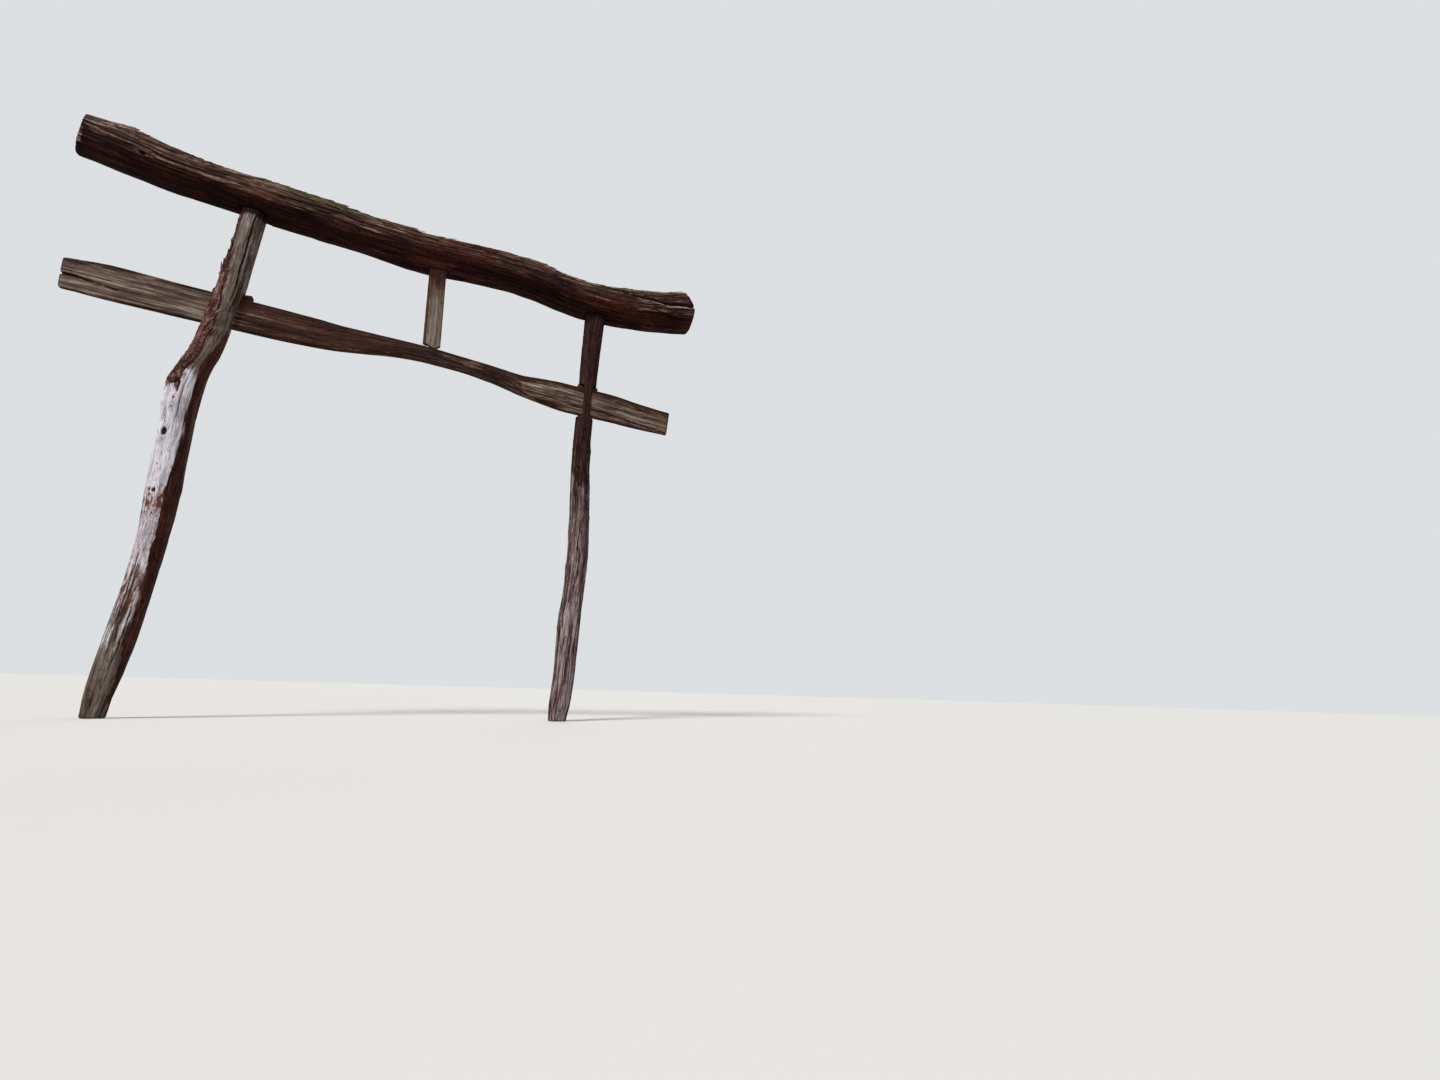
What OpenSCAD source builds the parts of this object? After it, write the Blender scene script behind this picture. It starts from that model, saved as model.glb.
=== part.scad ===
// A rustic gate of natural logs. Two posts carry a bent log, a hewn tie beam
// runs through both posts and is wedged there, and a narrow bare board stands
// between the beam and the log.
// X runs along the gate from the left post, the front faces -Y, and Z = 0 is
// the ground at the feet of the posts.

/* [Gate] */
// Distance between the feet of the posts
post_spacing = 2000; // [1700:10:2400]
// Height of the top log's centre line above the ground
top_log_z = 2850; // [2600:10:3100]
// Height of the tie beam's underside at the left post
beam_z_left = 2003; // [1850:1:2100]
// Height of the tie beam's underside at the right post
beam_z_right = 1936; // [1850:1:2100]
// Clearance between pieces that fit together
fit = 0.3; // [0.2:0.05:0.5]

/* [Posts] */
// Diameter of the left post at the middle
left_post_d = 124; // [110:1:150]
// Diameter of the right post at the middle
right_post_d = 126; // [118:1:150]
// Width of the tenon on top of each post
tenon_w = 50; // [36:1:60]
// Height of the tenon on top of each post
tenon_h = 80; // [60:1:100]
// Diameter of the pegs through the tenons
peg_d = 16; // [12:1:20]
// Thickness of the bark that is left on the left post
bark_t = 7; // [4:0.5:10]

/* [Top log] */
// Diameter of the top log at the middle
top_log_d = 240; // [220:1:280]
// Length of the top log beyond the left post
log_left_end = 730; // [600:10:900]
// Length of the top log beyond the right post
log_right_end = 690; // [600:10:900]
// Slant of the cut at the log's left end, its front cut back
log_left_slant = 21; // [0:1:25]
// Slant of the cut at the log's right end
log_right_slant = 2; // [0:1:15]
// Angle of the cut that takes back the right end above its long crack
log_right_bevel = 25; // [0:1:35]
// Depth of the flat seats cut into the underside of the top log
seat_depth = 22; // [15:1:30]

/* [Tie beam] */
// Height of the tie beam at the left post
beam_h_left = 192; // [150:1:210]
// Height of the tie beam at the right post
beam_h_right = 210; // [150:1:220]
// Thickness of the tie beam at the left post
beam_t_left = 56; // [46:1:64]
// Thickness of the tie beam at the right post
beam_t_right = 86; // [70:1:90]
// Front face of the tie beam behind the left post's centre line
beam_y_left = -12; // [-16:1:-4]
// Front face of the tie beam at the right post
beam_y_right = -46; // [-46:1:-38]
// Rise of the underside at the thinnest place of the tie beam
beam_arch = 125; // [60:1:135]
// Length of the tie beam beyond the left post
beam_left_end = 600; // [450:5:700]
// Length of the tie beam beyond the right post
beam_right_end = 550; // [450:5:700]
// Overhang of the slanting cut at the beam's left end
beam_left_slant = 7; // [0:1:20]
// Overhang of the slanting cut at the beam's right end
beam_right_slant = 5; // [0:1:20]

/* [Wedges] */
// Height of the slot for the wedges above the tie beam
wedge_gap = 30; // [22:1:36]
// How far the inner wedge at the left post stands out of it
wedge_out_left = 36; // [0:1:60]
// How far each of the other three wedges stands out of its post
wedge_out = 6; // [0:1:60]
// Width of each wedge
wedge_w = 34; // [26:1:40]
// Thickness of each wedge at its thin end
wedge_tip = 18; // [12:0.5:20]

/* [Cracks] */
// Length of the long crack in the right end of the top log
log_crack_l = 560; // [200:10:800]
// Length of the cracks in the ends of the tie beam
beam_crack_l = 230; // [100:10:400]
// Length of the crack in the left post above the tie beam
post_crack_l = 470; // [200:10:520]
// Width of the cracks where they are widest
crack_w = 8; // [4:0.5:12]
// Depth of the cracks below the surface
crack_deep = 24; // [10:1:40]

/* [Name board] */
// Distance of the board's foot from the left post
board_x = 1040; // [900:5:1200]
// Width of the board
board_w = 98; // [70:1:130]
// Thickness of the board
board_t = 24; // [18:1:30]
// Front face of the board
board_y = -24; // [-30:1:-10]
// Lean of the board to the left
board_lean = 4.4; // [0:0.2:8]
// Height of the board's pointed foot
board_point = 24; // [10:1:40]
// Width of the rough edge along the board's left side
board_edge = 13; // [4:1:16]
// Depth of the slot that holds the board's head
board_slot = 40; // [25:1:50]
// Diameter of the peg through the board's head
board_peg_d = 10; // [6:1:14]

/* [Hidden] */

// Faces round the posts and the top log, and rings along each piece
post_sides = 24;
post_rings = 54;
log_sides = 28;
log_rings = 76;
beam_rings = 60;
// How far a log or a cutter runs past a cut
over = top_log_d * 0.1;
// Where a wedge's thin end stops short of the post's centre line
wedge_start = 4;
// Half the length over which the tie beam is straight at a post
beam_flat = max(left_post_d, right_post_d) / 2 + max(wedge_out_left, wedge_out) + 37;
// Small chamfers of the tie beam
beam_arris = 6;

// Runs of the logs. Posts, from the foot up: share of height, sway along X
// and along Y in thousandths of the height, share of the diameter
left_run = [
    [0.00, 0, 0, 0.68], [0.03, -1, 0, 0.76], [0.07, 1.5, 0, 0.87], [0.13, 4.5, 1, 0.92],
    [0.23, 6.5, 2, 0.90], [0.30, 5.5, 3, 0.93], [0.36, 2.5, 3, 1.04], [0.44, -3, 2, 1.09],
    [0.50, -7, 1, 1.09], [0.56, -11, 0, 1.15], [0.60, -11.5, -1, 1.18], [0.63, -7.5, -1, 1.08],
    [0.67, 1.5, 0, 0.99], [0.72, 6, 0, 0.98], [0.82, 11.5, 0, 0.98], [0.89, 12, 0, 0.94],
    [1.00, 12.5, 0, 0.93]
];
right_run = [
    [0.00, 0, 0, 0.80], [0.04, 3, 0, 0.97], [0.11, 6, 1, 1.00], [0.21, 5.5, 3, 1.08],
    [0.28, 9.5, 4, 1.02], [0.35, 11, 3, 1.02], [0.43, 7, 1.5, 1.00], [0.51, 1, 0, 0.98],
    [0.59, -4.5, -1, 0.93], [0.66, -6.5, 0, 0.90], [0.78, -6.5, 0, 0.91], [0.84, -7.5, 0, 0.97],
    [0.93, -6, 0, 1.03], [1.00, -5.5, 0, 1.09]
];
// Top log, from the left: share of length, rise and sway along Y in
// thousandths of the length, share of the diameter
log_run = [
    [0.00, 16.5, -2, 0.87], [0.06, 12, -2, 0.97], [0.12, 3, -1, 0.93], [0.18, 0, 0, 0.90],
    [0.24, -1.5, 0, 0.98], [0.31, -1.5, 1, 0.99], [0.38, -3, 2, 0.96], [0.46, -5, 3, 1.01],
    [0.54, 2.5, 2, 1.01], [0.63, 9, 2, 1.02], [0.67, 8, 1, 1.08], [0.72, 0, 0, 1.07],
    [0.77, -3, 0, 1.09], [0.82, 1.5, 0, 1.14], [0.87, 10.5, -1, 1.19], [0.93, 23, -2, 1.24],
    [0.98, 36, -3, 1.31], [1.00, 39, -3, 1.32]
];
// Knots: share of length, angle round the log, height and width as shares
// of the log's diameter
left_knots = [[0.545, 235, 0.06, 0.34], [0.19, 320, 0.05, 0.30], [0.86, 200, 0.04, 0.28],
    [0.40, 60, 0.06, 0.32]];
right_knots = [[0.33, 200, 0.06, 0.35], [0.62, 330, 0.05, 0.29], [0.16, 120, 0.05, 0.32],
    [0.90, 70, 0.05, 0.30]];
log_knots = [[0.09, 205, 0.04, 0.25], [0.44, 110, 0.05, 0.25], [0.66, 40, 0.04, 0.29],
    [0.90, 250, 0.05, 0.33]];

// Value between two others, and a value held between limits
function mix(a, b, t) = a + (b - a) * t;
function held(v, low, high) = max(low, min(high, v));
function total(list) = list * [for (v = list) 1];

// A smooth run through stations, that never swings past them
function station(run, s, i = 0) =
    i >= len(run) - 2 || s < run[i + 1][0] ? i : station(run, s, i + 1);
function secant(run, col, i) =
    (run[i + 1][col] - run[i][col]) / (run[i + 1][0] - run[i][0]);
function inner_slope(a, b) = a * b <= 0 ? 0 : 2 * a * b / (a + b);
function slope(run, col, i) =
    i == 0 ? secant(run, col, 0) :
    i == len(run) - 1 ? secant(run, col, i - 1) :
    inner_slope(secant(run, col, i - 1), secant(run, col, i));
function along(run, col, s) =
    let (i = station(run, s),
         gap = run[i + 1][0] - run[i][0],
         t = held((s - run[i][0]) / gap, 0, 1),
         u = 1 - t)
    run[i][col] * (1 + 2 * t) * u * u + run[i + 1][col] * (3 - 2 * t) * t * t
    + gap * t * u * (u * slope(run, col, i) - t * slope(run, col, i + 1));

// How far a log's skin wanders from a circle: lobes, flutes and knots
function lobes(a, s, seed) =
    0.022 * cos(2 * a + 80 * seed + 60 * s)
    + 0.014 * cos(5 * a + 150 * seed + 120 * s)
    + 0.010 * sin(3 * a + 70 * seed + 1100 * s);
function turn(a, b) = abs((a - b + 540) % 360 - 180);
function knot(k, s, a, l, d) =
    k[2] * exp(-pow((s - k[0]) * l / d / k[3], 2) - pow(turn(a, k[1]) * PI / 360 / k[3], 2));
function skin_r(r, s, a, l, d, knots, seed) =
    r * (1 + lobes(a, s, seed)) + d * total([for (k = knots) knot(k, s, a, l, d)]);

// A closed solid through rings of points, all turning the same way
module lofted(rings) {
    n = len(rings[0]);
    last = len(rings) - 1;
    points = [for (ring = rings) for (p = ring) p];
    sides = [for (i = [0:last - 1]) for (j = [0:n - 1])
        let (k = (j + 1) % n, a = i * n + j, b = i * n + k)
        each [[a, a + n, b + n], [a, b + n, b]]];
    first_end = [for (j = [0:n - 1]) j];
    last_end = [for (j = [n - 1:-1:0]) last * n + j];
    polyhedron(points, concat(sides, [first_end, last_end]), convexity = 8);
}

// The top log's centre line and radius at a place along X
log_l = log_left_end + post_spacing + log_right_end;
function log_share(x) = (x + log_left_end) / log_l;
function log_z(x) = top_log_z + along(log_run, 1, log_share(x)) * log_l / 1000;
function log_y(x) = along(log_run, 2, log_share(x)) * log_l / 1000;
function log_r(x) = top_log_d / 2 * along(log_run, 3, log_share(x));
function log_under(x) = log_z(x) - log_r(x);

// The posts reach up to the seats in the top log. A post's height depends on
// where it meets the log, so its head's place is taken at the log's own height.
function sway(run, col, s, h) = along(run, col, s) * h / 1000;
left_top_x = sway(left_run, 1, 1, top_log_z - top_log_d / 2);
right_top_x = post_spacing + sway(right_run, 1, 1, top_log_z - top_log_d / 2);
left_h = log_under(left_top_x) + seat_depth;
right_h = log_under(right_top_x) + seat_depth;
left_top_r = left_post_d / 2 * along(left_run, 3, 1);
right_top_r = right_post_d / 2 * along(right_run, 3, 1);

// Each post where the tie beam runs through it
left_beam_share = (beam_z_left + beam_h_left / 2) / left_h;
right_beam_share = (beam_z_right + beam_h_right / 2) / right_h;
left_beam_x = sway(left_run, 1, left_beam_share, left_h);
right_beam_x = post_spacing + sway(right_run, 1, right_beam_share, right_h);
left_beam_r = left_post_d / 2 * along(left_run, 3, left_beam_share);
right_beam_r = right_post_d / 2 * along(right_run, 3, right_beam_share);

// One ring of a post
function post_ring(x, d, h, run, knots, seed, z, sides) =
    let (s = held(z / h, 0, 1), r = d / 2 * along(run, 3, s))
    [for (j = [0:sides - 1])
        let (a = 360 * j / sides, q = skin_r(r, s, a, h, d, knots, seed))
        [x + sway(run, 1, s, h) + q * cos(a), sway(run, 2, s, h) + q * sin(a), z]];

// Bare log of a post, a little long at the foot and up to the tenon's top
module post_log(x, d, h, run, knots, seed) {
    top = h + tenon_h;
    lofted([for (i = [0:post_rings])
        post_ring(x, d, h, run, knots, seed, mix(-over, top, i / post_rings), post_sides)]);
}

// Flat foot, shoulder and tenon of a post
module post_ends(x, y, d, h) {
    translate([x, y, -over - 1])
        translate([-2 * d, -2 * d, 0]) cube([4 * d, 4 * d, over + 1]);
    translate([x, y, h]) difference() {
        translate([-2 * d, -2 * d, 0]) cube([4 * d, 4 * d, tenon_h + over]);
        translate([-tenon_w / 2, -tenon_w / 2, -1]) cube([tenon_w, tenon_w, tenon_h + over + 2]);
    }
}

// Slot through a post for the tie beam and its wedges
module beam_mortise(x, y, z, t, h, d) {
    translate([x - d, y - fit, z - fit])
        cube([2 * d, t + 2 * fit, h + wedge_gap + 2 * fit]);
}

// Bore for the peg that locks a tenon, drilled from the back
module peg_bore(x, h) {
    translate([x, log_y(x) - tenon_w / 2 - over, h + tenon_h / 2])
        rotate([-90, 0, 0]) cylinder(d = peg_d + 2 * fit, h = log_r(x) * 2, $fn = 32);
}

// Drying cracks that run along X and are cut along Z, the depth each way:
// one pointed at both ends and one that opens at its far end
module shake(l, w, deep) {
    translate([0, 0, -deep]) linear_extrude(2 * deep)
        polygon([[0, 0], [l * 0.45, -w / 2], [l, 0], [l * 0.55, w / 2]]);
}
module open_crack(l, w, deep) {
    translate([0, 0, -deep]) linear_extrude(2 * deep)
        polygon([[0, 0], [l * 0.5, -w * 0.25], [l + over, -w / 2], [l + over, w / 2],
            [l * 0.55, w * 0.2]]);
}

module post_left() {
    color("#8a7468") difference() {
        post_log(0, left_post_d, left_h, left_run, left_knots, 1);
        post_ends(left_top_x, 0, left_post_d, left_h);
        beam_mortise(left_beam_x, beam_y_left, beam_z_left, beam_t_left, beam_h_left, left_post_d);
        peg_bore(left_top_x, left_h);
        // Long crack in the front, between the tie beam and the head
        translate([left_top_x, 0, left_h - top_log_d * 0.4]) rotate([0, 0, -60])
            translate([left_top_r, 0, 0]) rotate([0, 90, 0])
            shake(post_crack_l, crack_w, crack_deep);
    }
}

module post_right() {
    color("#6a4d48") difference() {
        post_log(post_spacing, right_post_d, right_h, right_run, right_knots, 4);
        post_ends(right_top_x, 0, right_post_d, right_h);
        beam_mortise(right_beam_x, beam_y_right, beam_z_right, beam_t_right, beam_h_right,
            right_post_d);
        peg_bore(right_top_x, right_h);
    }
}

// One ring of the top log. Near the ends the rings lean into the slanting cuts.
function log_slant(s) =
    tan(log_left_slant) * held(1 - s / 0.10, 0, 1)
    - tan(log_right_slant) * held(1 - (1 - s) / 0.10, 0, 1);
function log_ring(x) =
    let (s = log_share(x), lean = log_slant(s))
    [for (j = [0:log_sides - 1])
        let (a = 360 * j / log_sides, q = skin_r(log_r(x), s, a, log_l, top_log_d, log_knots, 2))
        [x - lean * q * cos(a), log_y(x) + q * cos(a), log_z(x) + q * sin(a)]];

// Flat seat and mortise for a post's head in the underside of the top log
module post_seat(x, r, h) {
    wide = r * 1.08 + 2;
    translate([x - wide, -log_r(x) - over, h - seat_depth - over])
        cube([2 * wide, 2 * (log_r(x) + over), seat_depth + over]);
    translate([x - tenon_w / 2 - fit, -tenon_w / 2 - fit, h - 1])
        cube([tenon_w + 2 * fit, tenon_w + 2 * fit, tenon_h + fit + 1]);
}

module top_log() {
    right = post_spacing + log_right_end;
    color("#5b4038") difference() {
        lofted([for (i = [0:log_rings]) log_ring(mix(-log_left_end, right, i / log_rings))]);
        post_seat(left_top_x, left_top_r, left_h);
        post_seat(right_top_x, right_top_r, right_h);
        peg_bore(left_top_x, left_h);
        peg_bore(right_top_x, right_h);
        board_slot_cut();
        board_peg_bore();
        // The long crack in the front of the right end, and the bevel above its mouth
        translate([right - log_crack_l, -log_r(right), log_z(right) - top_log_d * 0.30])
            rotate([90, -3, 0]) open_crack(log_crack_l, crack_w * 1.5, crack_deep * 2);
        translate([right, log_y(right) - top_log_d, log_z(right) - top_log_d * 0.18])
            rotate([0, -log_right_bevel, 0]) cube([top_log_d, 2 * top_log_d, 2 * top_log_d]);
    }
}

// Run of the tie beam along X: crown of its top in thousandths of the post
// spacing, share of the arch below, front face and thickness as shares of the
// way from the left post's to the right post's, and bevel of the lower back
// edge as a share of the thickness
function between(t) = mix(left_beam_x + beam_flat, right_beam_x - beam_flat, t);
beam_run = [
    [-beam_left_end, -6, 0.10, 0, -0.1, 0.6], [-beam_left_end * 0.75, 4, 0.04, 0, 0, 0.6],
    [-beam_left_end * 0.42, 1.5, 0.02, 0, 0, 0.6], [left_beam_x - beam_flat, 0, 0, 0, 0, 0.6],
    [left_beam_x + beam_flat, 0, 0, 0, 0, 0.6], [between(0.15), 0, 0.12, 0.15, 0.1, 0.5],
    [between(0.24), -3, 0.33, 0.3, 0.2, 0.2], [between(0.41), -0.5, 0.80, 0.6, 0.4, 0.1],
    [between(0.50), 1, 0.94, 0.7, 0.7, 0.1], [between(0.62), -2, 0.99, 0.76, 1.2, 0.1],
    [between(0.72), -5.5, 0.88, 0.82, 1.5, 0.1], [between(0.83), -12.5, 0.49, 0.9, 1.2, 0.3],
    [between(0.90), -6, 0.22, 1, 1, 0.6], [right_beam_x - beam_flat, 0, 0, 1, 1, 0.8],
    [right_beam_x + beam_flat, 0, 0, 1, 1, 0.8],
    [post_spacing + beam_right_end * 0.6, -9, -0.04, 0.95, 0.9, 0.8],
    [post_spacing + beam_right_end, -18, -0.04, 1, 0.8, 0.8]
];
function beam_share(x) = held((x - between(0)) / (between(1) - between(0)), 0, 1);
function beam_top(x) =
    mix(beam_z_left + beam_h_left, beam_z_right + beam_h_right, beam_share(x))
    + along(beam_run, 1, x) * post_spacing / 1000;
function beam_under(x) =
    mix(beam_z_left, beam_z_right, beam_share(x)) + beam_arch * along(beam_run, 2, x);
function beam_front(x) = mix(beam_y_left, beam_y_right, along(beam_run, 3, x));
function beam_thick(x) = mix(beam_t_left, beam_t_right, along(beam_run, 4, x));
function beam_slant(x) =
    let (left = post_spacing * 0.05, right = post_spacing + beam_right_end)
    -tan(beam_left_slant) * held(1 - (x + beam_left_end) / left, 0, 1)
    + tan(beam_right_slant) * held(1 - (right - x) / left, 0, 1);

// One hewn section of the tie beam, square in front and waney behind
function beam_ring(x) =
    let (front = beam_front(x), thick = beam_thick(x), back = front + thick,
         bevel = thick * along(beam_run, 5, x), top = beam_top(x), under = beam_under(x),
         c = beam_arris)
    [for (p = [[front, under + c], [front + c, under], [back - bevel, under],
               [back - bevel * 0.35, under + bevel * 0.42], [back, under + bevel * 1.1],
               [back, top - 3 * c], [back - c, top - c], [back - 3 * c, top],
               [front + c, top], [front, top - c]])
        [x + beam_slant(x) * (p[1] - under), p[0], p[1]]];

module tie_beam() {
    left = -beam_left_end;
    right = post_spacing + beam_right_end;
    color("#7b6a5f") difference() {
        lofted([for (i = [0:beam_rings]) beam_ring(mix(left, right, i / beam_rings))]);
        // Cracks in the front that open at the two ends
        translate([left + beam_crack_l, beam_y_left, beam_z_left + beam_h_left * 0.31])
            rotate([90, -9, 180]) open_crack(beam_crack_l, crack_w, crack_deep);
        translate([right - beam_crack_l * 2, beam_y_right, beam_z_right + beam_h_right * 0.25])
            rotate([90, 5.5, 0]) open_crack(beam_crack_l * 2, crack_w, crack_deep);
    }
}

// Wedge on top of the tie beam, driven in towards a post's centre
module wedge(x, y, z, r, out, side) {
    seated = r * 1.06 - wedge_start;
    rise = (wedge_gap - fit - wedge_tip) / seated;
    l = seated + out;
    thick = wedge_tip + rise * l;
    translate([x, y - wedge_w / 2, z + fit]) mirror([side < 0 ? 1 : 0, 0, 0])
        translate([wedge_start, wedge_w, 0]) rotate([90, 0, 0]) linear_extrude(wedge_w)
            polygon([[0, 0], [l, 0], [l, thick - 3], [l - 4, thick], [0, wedge_tip]]);
}
module left_wedge(side) {
    color("#4d3a30")
        wedge(left_beam_x, beam_y_left + beam_t_left / 2, beam_z_left + beam_h_left,
            left_beam_r, side > 0 ? wedge_out_left : wedge_out, side);
}
module right_wedge(side) {
    color("#4d3a30")
        wedge(right_beam_x, beam_y_right + beam_t_right / 2, beam_z_right + beam_h_right,
            right_beam_r, wedge_out, side);
}
module wedge_left_outer() { left_wedge(-1); }
module wedge_left_inner() { left_wedge(1); }
module wedge_right_inner() { right_wedge(-1); }
module wedge_right_outer() { right_wedge(1); }

// Peg that locks a tenon: from inside the log to just proud of its back
module peg(x, h) {
    proud = 6;
    inner = -tenon_w / 2 - over + fit;
    color("#6b5446") translate([x, log_y(x) + inner, h + tenon_h / 2])
        rotate([-90, 0, 0]) cylinder(d = peg_d, h = log_r(x) - inner + proud, $fn = 32);
}
module peg_left() { peg(left_top_x, left_h); }
module peg_right() { peg(right_top_x, right_h); }

// The board stands on the tie beam and its head is let into the top log
board_foot_z = beam_top(board_x) + fit;
board_top_z = log_under(board_x - 50) + board_slot;
board_h = (board_top_z - board_foot_z) / cos(board_lean);
board_peg_z = board_h - board_slot * 0.5;
module on_board() {
    translate([board_x, board_y, board_foot_z]) rotate([0, -board_lean, 0]) children();
}

module name_board() {
    left = -board_w * 0.68;
    right = board_w * 0.32;
    color("#a39687") difference() {
        on_board() rotate([90, 0, 0]) translate([0, 0, -board_t]) linear_extrude(board_t)
            polygon([[0, 0], [right, board_point], [right, board_h], [left, board_h],
                [left, board_point + 2], [left + 20, board_point * 0.7],
                [left + 26, board_point], [left + 34, board_point * 0.6]]);
        // Rough outer edge of the plank, bevelled along the left side
        on_board() translate([left, 0, board_h / 2]) rotate([0, 0, 45])
            cube([board_edge * sqrt(2), board_edge * sqrt(2), board_h * 1.2], center = true);
        board_peg_bore();
    }
}
module board_slot_cut() {
    on_board() translate([-board_w * 0.68 - fit, -fit, board_h - board_slot - over])
        cube([board_w + 2 * fit, board_t + 2 * fit, board_slot + over + fit]);
}
module board_peg_bore() {
    on_board() translate([-board_w * 0.18, -over, board_peg_z])
        rotate([-90, 0, 0]) cylinder(d = board_peg_d + 2 * fit, h = top_log_d, $fn = 24);
}
module peg_board() {
    back = log_y(board_x) - board_y + log_r(board_x) * 0.64;
    color("#6b5446") on_board() translate([-board_w * 0.18, -over + fit, board_peg_z])
        rotate([-90, 0, 0]) cylinder(d = board_peg_d, h = back + over, $fn = 24);
}

// Sheet of bark left on the left post: faces it covers, rings it spans, and
// the angle that its ragged right edge reaches at each share of its height
bark_first = 13;
bark_last = 19;
bark_from = 28;
bark_to = 47;
bark_reach = [[0, 262], [0.15, 272], [0.30, 284], [0.50, 281], [0.65, 268], [0.80, 250], [1, 226]];
function bark_lift(i, j) =
    let (s = (i - bark_from) / (bark_to - bark_from),
         ends = held(min(s, 1 - s) * 9, 0, 1),
         edge = held((along(bark_reach, 1, s) - 360 * j / post_sides) / 14, 0, 1))
    mix(3 * fit, bark_t, ends * edge);
function bark_ring(i) =
    let (z = mix(-over, left_h + tenon_h, i / post_rings),
         wood = post_ring(0, left_post_d, left_h, left_run, left_knots, 1, z, post_sides),
         axis = [sway(left_run, 1, z / left_h, left_h), sway(left_run, 2, z / left_h, left_h), z])
    concat(
        [for (j = [bark_first:bark_last]) let (out = wood[j] - axis)
            wood[j] + out / norm(out) * bark_lift(i, j)],
        [for (j = [bark_last:-1:bark_first]) let (out = wood[j] - axis)
            wood[j] + out / norm(out) * fit]);
module bark_left() {
    color("#6e4538") lofted([for (i = [bark_from:bark_to]) bark_ring(i)]);
}

post_left();
post_right();
top_log();
tie_beam();
name_board();
wedge_left_outer();
wedge_left_inner();
wedge_right_inner();
wedge_right_outer();
peg_left();
peg_right();
peg_board();
bark_left();
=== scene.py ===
import bpy
import math
import numpy as np
from mathutils import Matrix, Vector
from mathutils.bvhtree import BVHTree


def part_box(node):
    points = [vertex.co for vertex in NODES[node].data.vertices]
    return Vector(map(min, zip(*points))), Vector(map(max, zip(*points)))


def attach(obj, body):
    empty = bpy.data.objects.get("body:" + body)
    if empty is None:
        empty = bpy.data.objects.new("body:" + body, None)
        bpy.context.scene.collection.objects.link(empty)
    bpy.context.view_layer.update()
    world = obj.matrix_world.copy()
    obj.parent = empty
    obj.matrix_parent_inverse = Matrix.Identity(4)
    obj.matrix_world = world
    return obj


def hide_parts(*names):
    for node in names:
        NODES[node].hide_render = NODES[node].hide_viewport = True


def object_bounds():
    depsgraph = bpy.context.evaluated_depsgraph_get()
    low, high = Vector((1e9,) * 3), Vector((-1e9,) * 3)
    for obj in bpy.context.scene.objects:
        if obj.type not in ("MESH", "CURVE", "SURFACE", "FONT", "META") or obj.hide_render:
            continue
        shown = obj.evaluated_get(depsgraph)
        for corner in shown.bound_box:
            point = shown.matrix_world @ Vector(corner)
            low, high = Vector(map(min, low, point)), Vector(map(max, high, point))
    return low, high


# A rustic gate of natural logs: weathered posts, a bent top log in dark fibrous
# bark, a hewn tie beam and a narrow bare board. Metres, front towards -Y.
# Turns are in degrees: round the top log and the tie beam from the back over the
# top, and round a post from its right side over the back.

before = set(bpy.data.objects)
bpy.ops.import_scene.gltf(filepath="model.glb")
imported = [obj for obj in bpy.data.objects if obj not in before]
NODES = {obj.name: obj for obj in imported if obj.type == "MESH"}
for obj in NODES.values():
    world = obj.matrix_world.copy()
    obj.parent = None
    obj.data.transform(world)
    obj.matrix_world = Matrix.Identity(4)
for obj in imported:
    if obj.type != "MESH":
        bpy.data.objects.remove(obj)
cad_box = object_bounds()
MM = 0.001
UP, DOWN, TO_FRONT, TO_BACK = (0, 0, 1), (0, 0, -1), (0, -1, 0), (0, 1, 0)

# Camera, as it was solved from the photograph
PHOTO_W = 1440
FOCAL_PX = 560
SENSOR = 36.0
CAMERA_AT = Vector((1.40, -3.51, 0.19))
CAMERA_PITCH = math.radians(15.2)
CAMERA_ROLL = math.radians(1.7)
CAMERA_YAW = math.radians(24.7)

# How many rings a piece has along it, and how many points each ring has
LOG_GRID, POST_GRID, BEAM_GRID, BOARD_GRID = (392, 224), (430, 168), (400, 180), (210, 120)
WEDGE_GRID, PEG_GRID, SHEET_GRID = (60, 72), (60, 40), (230, 84)

# How the CAD nodes are read
OUTSIDE = 0.5            # rays start this far outside a piece
END_CLEAR = 4 * MM       # the middle is read at least this far inside the ends
RIM_CLEAR = 0.5 * MM     # and the rings this far
SLANT = 0.2              # a slanting cut lies no further inside its end than this
IN_RIM = 0.93            # share of the radius at which such a cut is felt for
ODD_RADIUS = (0.8, 1.3)  # a ray past these shares of its ring's usual radius met a cut
WALL_GAP = 0.25 * MM     # two rings this far to either side of a cut's wall


# Noise

def scatter(i, j, k, seed):
    """A steady random number from 0 to 1 for each whole-number place."""
    h = (i.astype(np.int64) * 73856093) ^ (j.astype(np.int64) * 19349663)
    h = h ^ (k.astype(np.int64) * 83492791) ^ (seed * 912271)
    h = (h ^ (h >> 13)) * 1274126177
    h = (h ^ (h >> 16)) & 0xFFFFFF
    return h / float(0xFFFFFF)


def ease(t):
    return t * t * (3 - 2 * t)


def step(low, high, v):
    """0 below low, 1 above high, and a smooth rise between them."""
    return ease(np.clip((v - low) / (high - low), 0, 1))


def within(rise, full, fade, gone, v):
    """Rises from the first place to the second and falls from the third to the fourth."""
    return step(rise, full, v) * (1 - step(fade, gone, v))


def close_to(place, width, v):
    """1 at a place, fading away over a width to both sides."""
    return np.exp(-((v - place) / width) ** 2)


def noise(x, y, z, seed=0):
    """Smooth noise from -1 to 1."""
    x, y, z = np.broadcast_arrays(x, y, z)
    i, j, k = np.floor(x), np.floor(y), np.floor(z)
    u, v, w = ease(x - i), ease(y - j), ease(z - k)
    total = 0
    for di in (0, 1):
        for dj in (0, 1):
            for dk in (0, 1):
                share = (u if di else 1 - u) * (v if dj else 1 - v) * (w if dk else 1 - w)
                total = total + share * scatter(i + di, j + dj, k + dk, seed)
    return total * 2 - 1


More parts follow.
